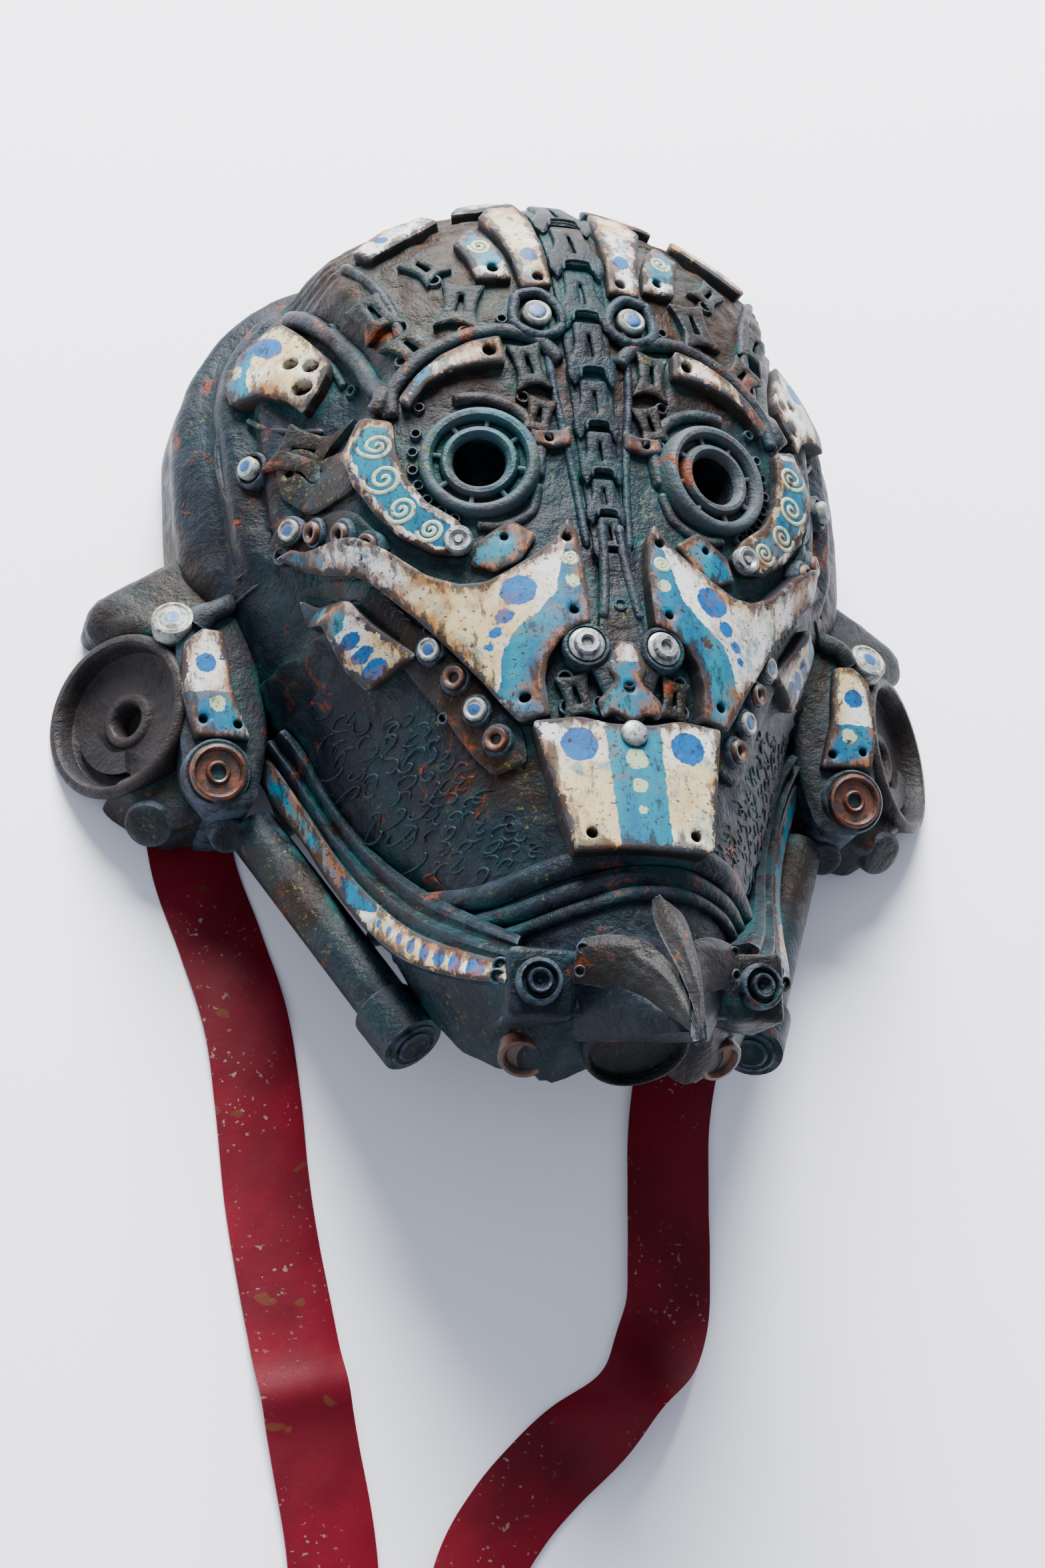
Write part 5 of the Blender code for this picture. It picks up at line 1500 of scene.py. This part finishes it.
# Ear pods
pod = {
    "place": (123, 15, 12), "turn": 48, "radius": 25, "hub": 7.5,
    "below": -7, "blockTop": 30,
    "pad": (10.2, 16.8, -92, -6, -6.5, -3.8),      # radii, degrees and heights of the arc pad
    "block": [(83, 30), (88, 42), (98, 46), (107, 40), (108, 20), (106, -10), (98, -20), (86, -18),
              (81, 4)],
    "blockEdge": ((0.0, 1.6), (1.4, 0.35), (3.0, 0.0)),     # inset and drop of each row
    "hulls": {
        "flare": [(102, 70, -7), (102, 66, 17), (112, 57, 14), (129, 52, 9), (131, 44, 6),
                  (131, 44, -7), (129, 53, -7), (112, 33, -7), (111, 36, 21), (93, 44, -7),
                  (94, 43, 25), (112, 58, -7)],
        "foot": [(87, -15, -7), (87, -15, 21), (108, -21, -7), (108, -20, 16), (126, -8, -7),
                 (124, -6, 12), (101, 5, -7), (101, 5, 19)],
    },
    # turned pieces: place, direction, section
    "bigBolt": ((97, -9, 30), (0, -0.25, 1),
                [(8.4, -6), (8.4, 1.6), (8.0, 2.6), (7.2, 2.9), (6.6, 2.2), (6.2, 1.4), (3.6, 1.2),
                 (3.3, 2.0), (2.8, 2.4), (2.2, 2.0), (1.9, 0.0), (0.8, -0.4)]),
    "bigWasher": ((97, -9, 30), (0, -0.25, 1), [(9.8, -6), (9.8, 0.4), (9.2, 1.2), (8.4, 1.0)]),
    "button": ((108.3, 38.6, 27.5), (0.25, 0.3, 1),
               [(6.3, -5), (6.3, 0.9), (5.9, 1.6), (5.0, 1.9), (4.5, 1.5), (4.1, 1.5), (3.6, 1.9),
                (1.0, 2.0)]),
    "largeKnob": ((112, -15, 8), (0.4, -0.8, 0.7),
                  [(7.2, -9), (7.2, 4.0), (6.6, 5.2), (5.2, 5.8), (2.2, 5.6)]),
    "smallKnob": ((92, -20, 14), (-0.1, -0.8, 0.7),
                  [(5.5, -7), (5.5, 3.6), (5.0, 4.4), (3.6, 4.6), (1.6, 4.2)]),
    "flap": [(89, 47, 27), (93, 43, 31), (98, 40, 31.5), (101, 36, 30)],
    "plate": [(95, 34), (101, 34.5), (106, 30), (107, 16), (105, 6), (103.5, 1), (87.5, 1), (90, 9),
              (92.5, 17), (93.5, 26)],
    "plateHoles": [(101.2, 6.3, 1.3), (91.2, 5.2, 1.3)],
    "plateTeal": [[(80, 15.5), (112, 14.5), (112, -4), (80, -4)]],
    "plateBlue": [(100, 23.7, 3.1)],
    "plateCream": [(97, 11.2, 2.5)],
    "plateFoot": 26,
}


def podPlateTop(x, y):
    return 33.2 - 0.01 * (x - 97) ** 2


def makePods():
    cast, disc, rusty, dotted, plate = newGroup(), newGroup(), newGroup(), newGroup(), newGroup()
    block = roundLoop(pod["block"], 4)
    rows = [np.column_stack([block, np.full(len(block), pod["below"])])]
    for inset, drop in pod["blockEdge"]:
        loop = offsetLoop(block, inset)
        rows.append(np.column_stack([loop, pod["blockTop"] - drop - 0.012 * (loop[:, 0] - 96) ** 2]))
    addTo(cast, np.concatenate(rows), loopFaces(len(rows), len(block)), mirrored=True)
    t = math.radians(pod["turn"])
    seatFrame = frameAt(pod["place"], (math.sin(t), 0, math.cos(t)))
    r, hub = pod["radius"], pod["hub"]
    section = [(r * 0.85, -24), (r * 0.97, -4), (r, -1.2), (r - 0.4, -0.2), (r - 1.2, 0.4),
               (r - 2.6, 0.4), (r - 3.4, -0.4), (r - 3.8, -1.8), (r - 4.4, -5.4), (r - 5.2, -6.0),
               (hub + 3, -6.2), (hub + 1.2, -6.0), (hub + 0.6, -5.2), (hub, -4.9), (hub - 1.2, -4.8),
               (hub - 2.0, -5.2), (hub - 2.6, -6.2), (hub - 2.9, -12.0), (1.0, -12.4)]
    addTurned(disc, section, seatFrame, 64)
    # arc pad on the disc's floor
    inner, outer, start, end, low, high = pod["pad"]
    arc = np.linspace(math.radians(start), math.radians(end), 18)
    pad = [(outer * math.cos(a), outer * math.sin(a)) for a in arc]
    pad += [(inner * math.cos(a), inner * math.sin(a)) for a in arc[::-1]]
    points = np.array([(u, v, height) for height in (low, high) for u, v in pad])
    addTo(disc, seated(points, seatFrame), loopFaces(2, len(pad)), mirrored=True)
    makePiece("podDiscs", disc, podGrey)
    for name, corners in pod["hulls"].items():
        out, faces = hullMesh(corners, 3.0, rough=0.3, seed=len(name), segments=4)
        out[:, 2] = np.maximum(out[:, 2], pod["below"])
        addTo(cast, out, faces, mirrored=True)
    for group, key, sides, dot in ((rusty, "bigBolt", 36, None), (cast, "bigWasher", 36, None),
                                   (dotted, "button", 32, 2.2), (cast, "largeKnob", 28, None),
                                   (cast, "smallKnob", 24, None)):
        place, way, section = pod[key]
        addTurned(group, section, frameAt(place, way), sides, dot)
    # rolled flap over the top of the pod
    points, faces = tubeMesh(smoothPath(pod["flap"], 24), 3.0, 14, 0.8)
    addTo(cast, points, faces, mirrored=True)
    makePiece("podHousings", cast, castMaterial("podCast", (0.016, 0.017, 0.020), rust=0.4, green=0.8))
    makePiece("podBolts", rusty, rustWasher)
    makePiece("podButtons", dotted, enamelWasher)
    holes = [circle(*hole) for hole in pod["plateHoles"]]
    points, faces, flat, edge = plateMesh(pod["plate"], 0, holes, top=podPlateTop, sink=0)
    points[len(edge[edge > -1]):, 2] = pod["plateFoot"]
    paint = paintFor(flat, edge, pod["plateTeal"], pod["plateBlue"], pod["plateCream"])
    addTo(plate, points, faces, paint, mirrored=True)
    makePiece("podPlates", plate, enamel, 50)


makePods()
print("ear pods made")

# Ribbons: flat satin strips along the routes of the solids, in face millimetres
ribbons = {
    "width": 25.0, "length": 320.0, "thickness": 0.6, "lift": 0.7,
    "steps": 200, "columns": 17,
    "calmEnd": 45,              # the start under the pod lies flat up to here
    "waveStart": 55, "waveFade": 40,
    "left": [(-101, 8), (-98, -23), (-90.5, -47), (-84, -70), (-81, -94), (-78.5, -126), (-73.5, -161),
             (-68.5, -193), (-64.5, -224), (-65, -262)],
    "right": [(98, 9), (84, -11), (70, -34), (58, -58), (48, -79), (42.5, -100), (40, -122),
              (38.5, -141), (36, -158), (27, -173), (13, -187), (-2, -200), (-14, -212), (-23.5, -226),
              (-30, -247), (-31, -270)],
    "leftCrease": 188.0, "rightFold": 208.0,
}


def satinMaterial():
    s = Shader("crimsonSatin")
    weave = s.noise(2600, 2, 0.5)
    broad = s.noise(30, 3, 0.5)
    colour = s.mix(s.ramp(broad, 0.35, 0.65), palette["crimson"], (0.066, 0.0008, 0.006))
    haze = s.ramp(s.noise(26, 3, 0.5), 0.45, 0.62, 0.0, 1.0)
    speck = s.math("MULTIPLY", haze, s.ramp(s.noise(620, 2, 0.4), 0.66, 0.70, 0.0, 0.8))
    colour = s.mix(speck, colour, (0.16, 0.14, 0.11))
    spot = s.ramp(s.noise(110, 2, 0.3), 0.715, 0.74, 0.0, 0.8)
    colour = s.mix(spot, colour, (0.07, 0.022, 0.008))
    bumped = s.bump(weave, 0.25, 0.0002)
    bumped = s.bump(s.noise(55, 3, 0.5), 0.35, 0.0015, bumped)
    return s.finish(colour, s.ramp(weave, 0.3, 0.7, 0.45, 0.60), 0.0, bumped,
                    **{"Specular IOR Level": 0.12, "Sheen Weight": 0.04, "Sheen Roughness": 0.4})


def runAlong(points):
    return np.concatenate([[0], np.cumsum(np.linalg.norm(np.diff(points, axis=0), axis=1))])


def makeRibbon(name, places, material, side):
    dense = smoothPath(np.array([(x, y, 0) for x, y in places], float), 400)
    run = runAlong(dense)
    if run[-1] < ribbons["length"]:
        extra = dense[-1] - dense[-2]
        extra *= (ribbons["length"] - run[-1] + 1) / np.linalg.norm(extra)
        dense = np.vstack([dense, dense[-1] + extra])
        run = runAlong(dense)
    stations = np.linspace(0, ribbons["length"], ribbons["steps"])
    mid = np.stack([np.interp(stations, run, dense[:, k]) for k in range(3)], 1)
    ahead = np.gradient(mid, axis=0)
    ahead /= np.linalg.norm(ahead, axis=1, keepdims=True)
    across = np.stack([-ahead[:, 1], ahead[:, 0], np.zeros(len(mid))], 1)
    loose = np.clip((stations - ribbons["waveStart"]) / ribbons["waveFade"], 0, 1)
    wave = 0.9 * (1 + np.sin(stations / 23.0 + side)) * loose
    columns = np.linspace(-1, 1, ribbons["columns"])
    half = ribbons["width"] / 2
    if side < 0:
        bend = 2.2 * np.exp(-((stations - ribbons["leftCrease"]) / 7) ** 2)
        twist = np.zeros(len(stations))
    else:
        bend = 1.0 * np.exp(-((stations - ribbons["rightFold"]) / 16) ** 2)
        twist = math.radians(46) * np.exp(-((stations - ribbons["rightFold"]) / 17) ** 2)
    offsets = columns[None] * half
    flat = mid[:, None] + across[:, None] * (offsets * np.cos(twist)[:, None])[..., None]
    arch = 0.8 * (1 - columns[None] ** 2) * loose[:, None]
    cup = 0.25 * np.sin(stations[:, None] / 9.0 + columns[None] * 2.2) * np.abs(columns[None])
    z = (-rimLift + ribbons["lift"] + wave[:, None] + bend[:, None] + arch + np.abs(cup)
         + (columns[None] + 1) * half * np.sin(twist)[:, None])
    calm = np.clip((stations - ribbons["calmEnd"]) / 25, 0, 1)[:, None]
    z = (-rimLift + ribbons["lift"]) * (1 - calm) + z * calm
    flat[..., 2] = z
    upper, lower = flat.copy(), flat.copy()
    upper[..., 2] += ribbons["thickness"] / 2
    lower[..., 2] -= ribbons["thickness"] / 2
    rows = np.concatenate([upper, lower[:, ::-1]], 1)
    group = newGroup()
    addTo(group, rows.reshape(-1, 3), loopFaces(len(stations), rows.shape[1]))
    return makePiece(name, group, material, 35)


satin = satinMaterial()
for name, node, key, side in (("ribbonLeft", "ribbon_left", "left", -1),
                              ("ribbonRight", "ribbon_right", "right", 1)):
    strip = makeRibbon(name, ribbons[key], satin, side)
    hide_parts(node)
print("ribbons laid")

# Table and light
studio = {
    "floor": (0.86, 0.87, 0.97), "floorShade": (0.84, 0.85, 0.91),
    "skyTint": (0.80, 0.85, 1.0, 1.0), "sky": 0.66,
    # place, aim, size, power, tint
    "windowLight": ((-0.15, 1.5, 1.0), (0, 0, 0.05), 1.3, 225.0, (1.0, 0.98, 0.96)),
    "softFill": ((-0.9, -0.5, 1.1), (0, 0, 0.05), 1.2, 5.0, (0.84, 0.90, 1.0)),
}


def makeStudio():
    bpy.ops.mesh.primitive_plane_add(size=6, location=(0, 0, 0))
    floor = bpy.context.object
    floor.name = "table"
    s = Shader("paleTable")
    s.finish(s.mix(s.noise(3, 2, 0.5), studio["floor"], studio["floorShade"]), 0.9)
    floor.data.materials.append(s.material)
    for name in ("windowLight", "softFill"):
        place, aim, size, power, tint = studio[name]
        data = bpy.data.lights.new(name, "AREA")
        data.shape = "DISK"
        data.size = size
        data.energy = power
        data.color = tint
        lamp = bpy.data.objects.new(name, data)
        bpy.context.scene.collection.objects.link(lamp)
        lamp.location = place
        lamp.rotation_euler = (Vector(aim) - Vector(place)).to_track_quat("-Z", "Y").to_euler()
    world = bpy.data.worlds.new("paleSky")
    world.use_nodes = True
    back = world.node_tree.nodes["Background"]
    back.inputs["Color"].default_value = studio["skyTint"]
    back.inputs["Strength"].default_value = studio["sky"]
    bpy.context.scene.world = world


makeStudio()
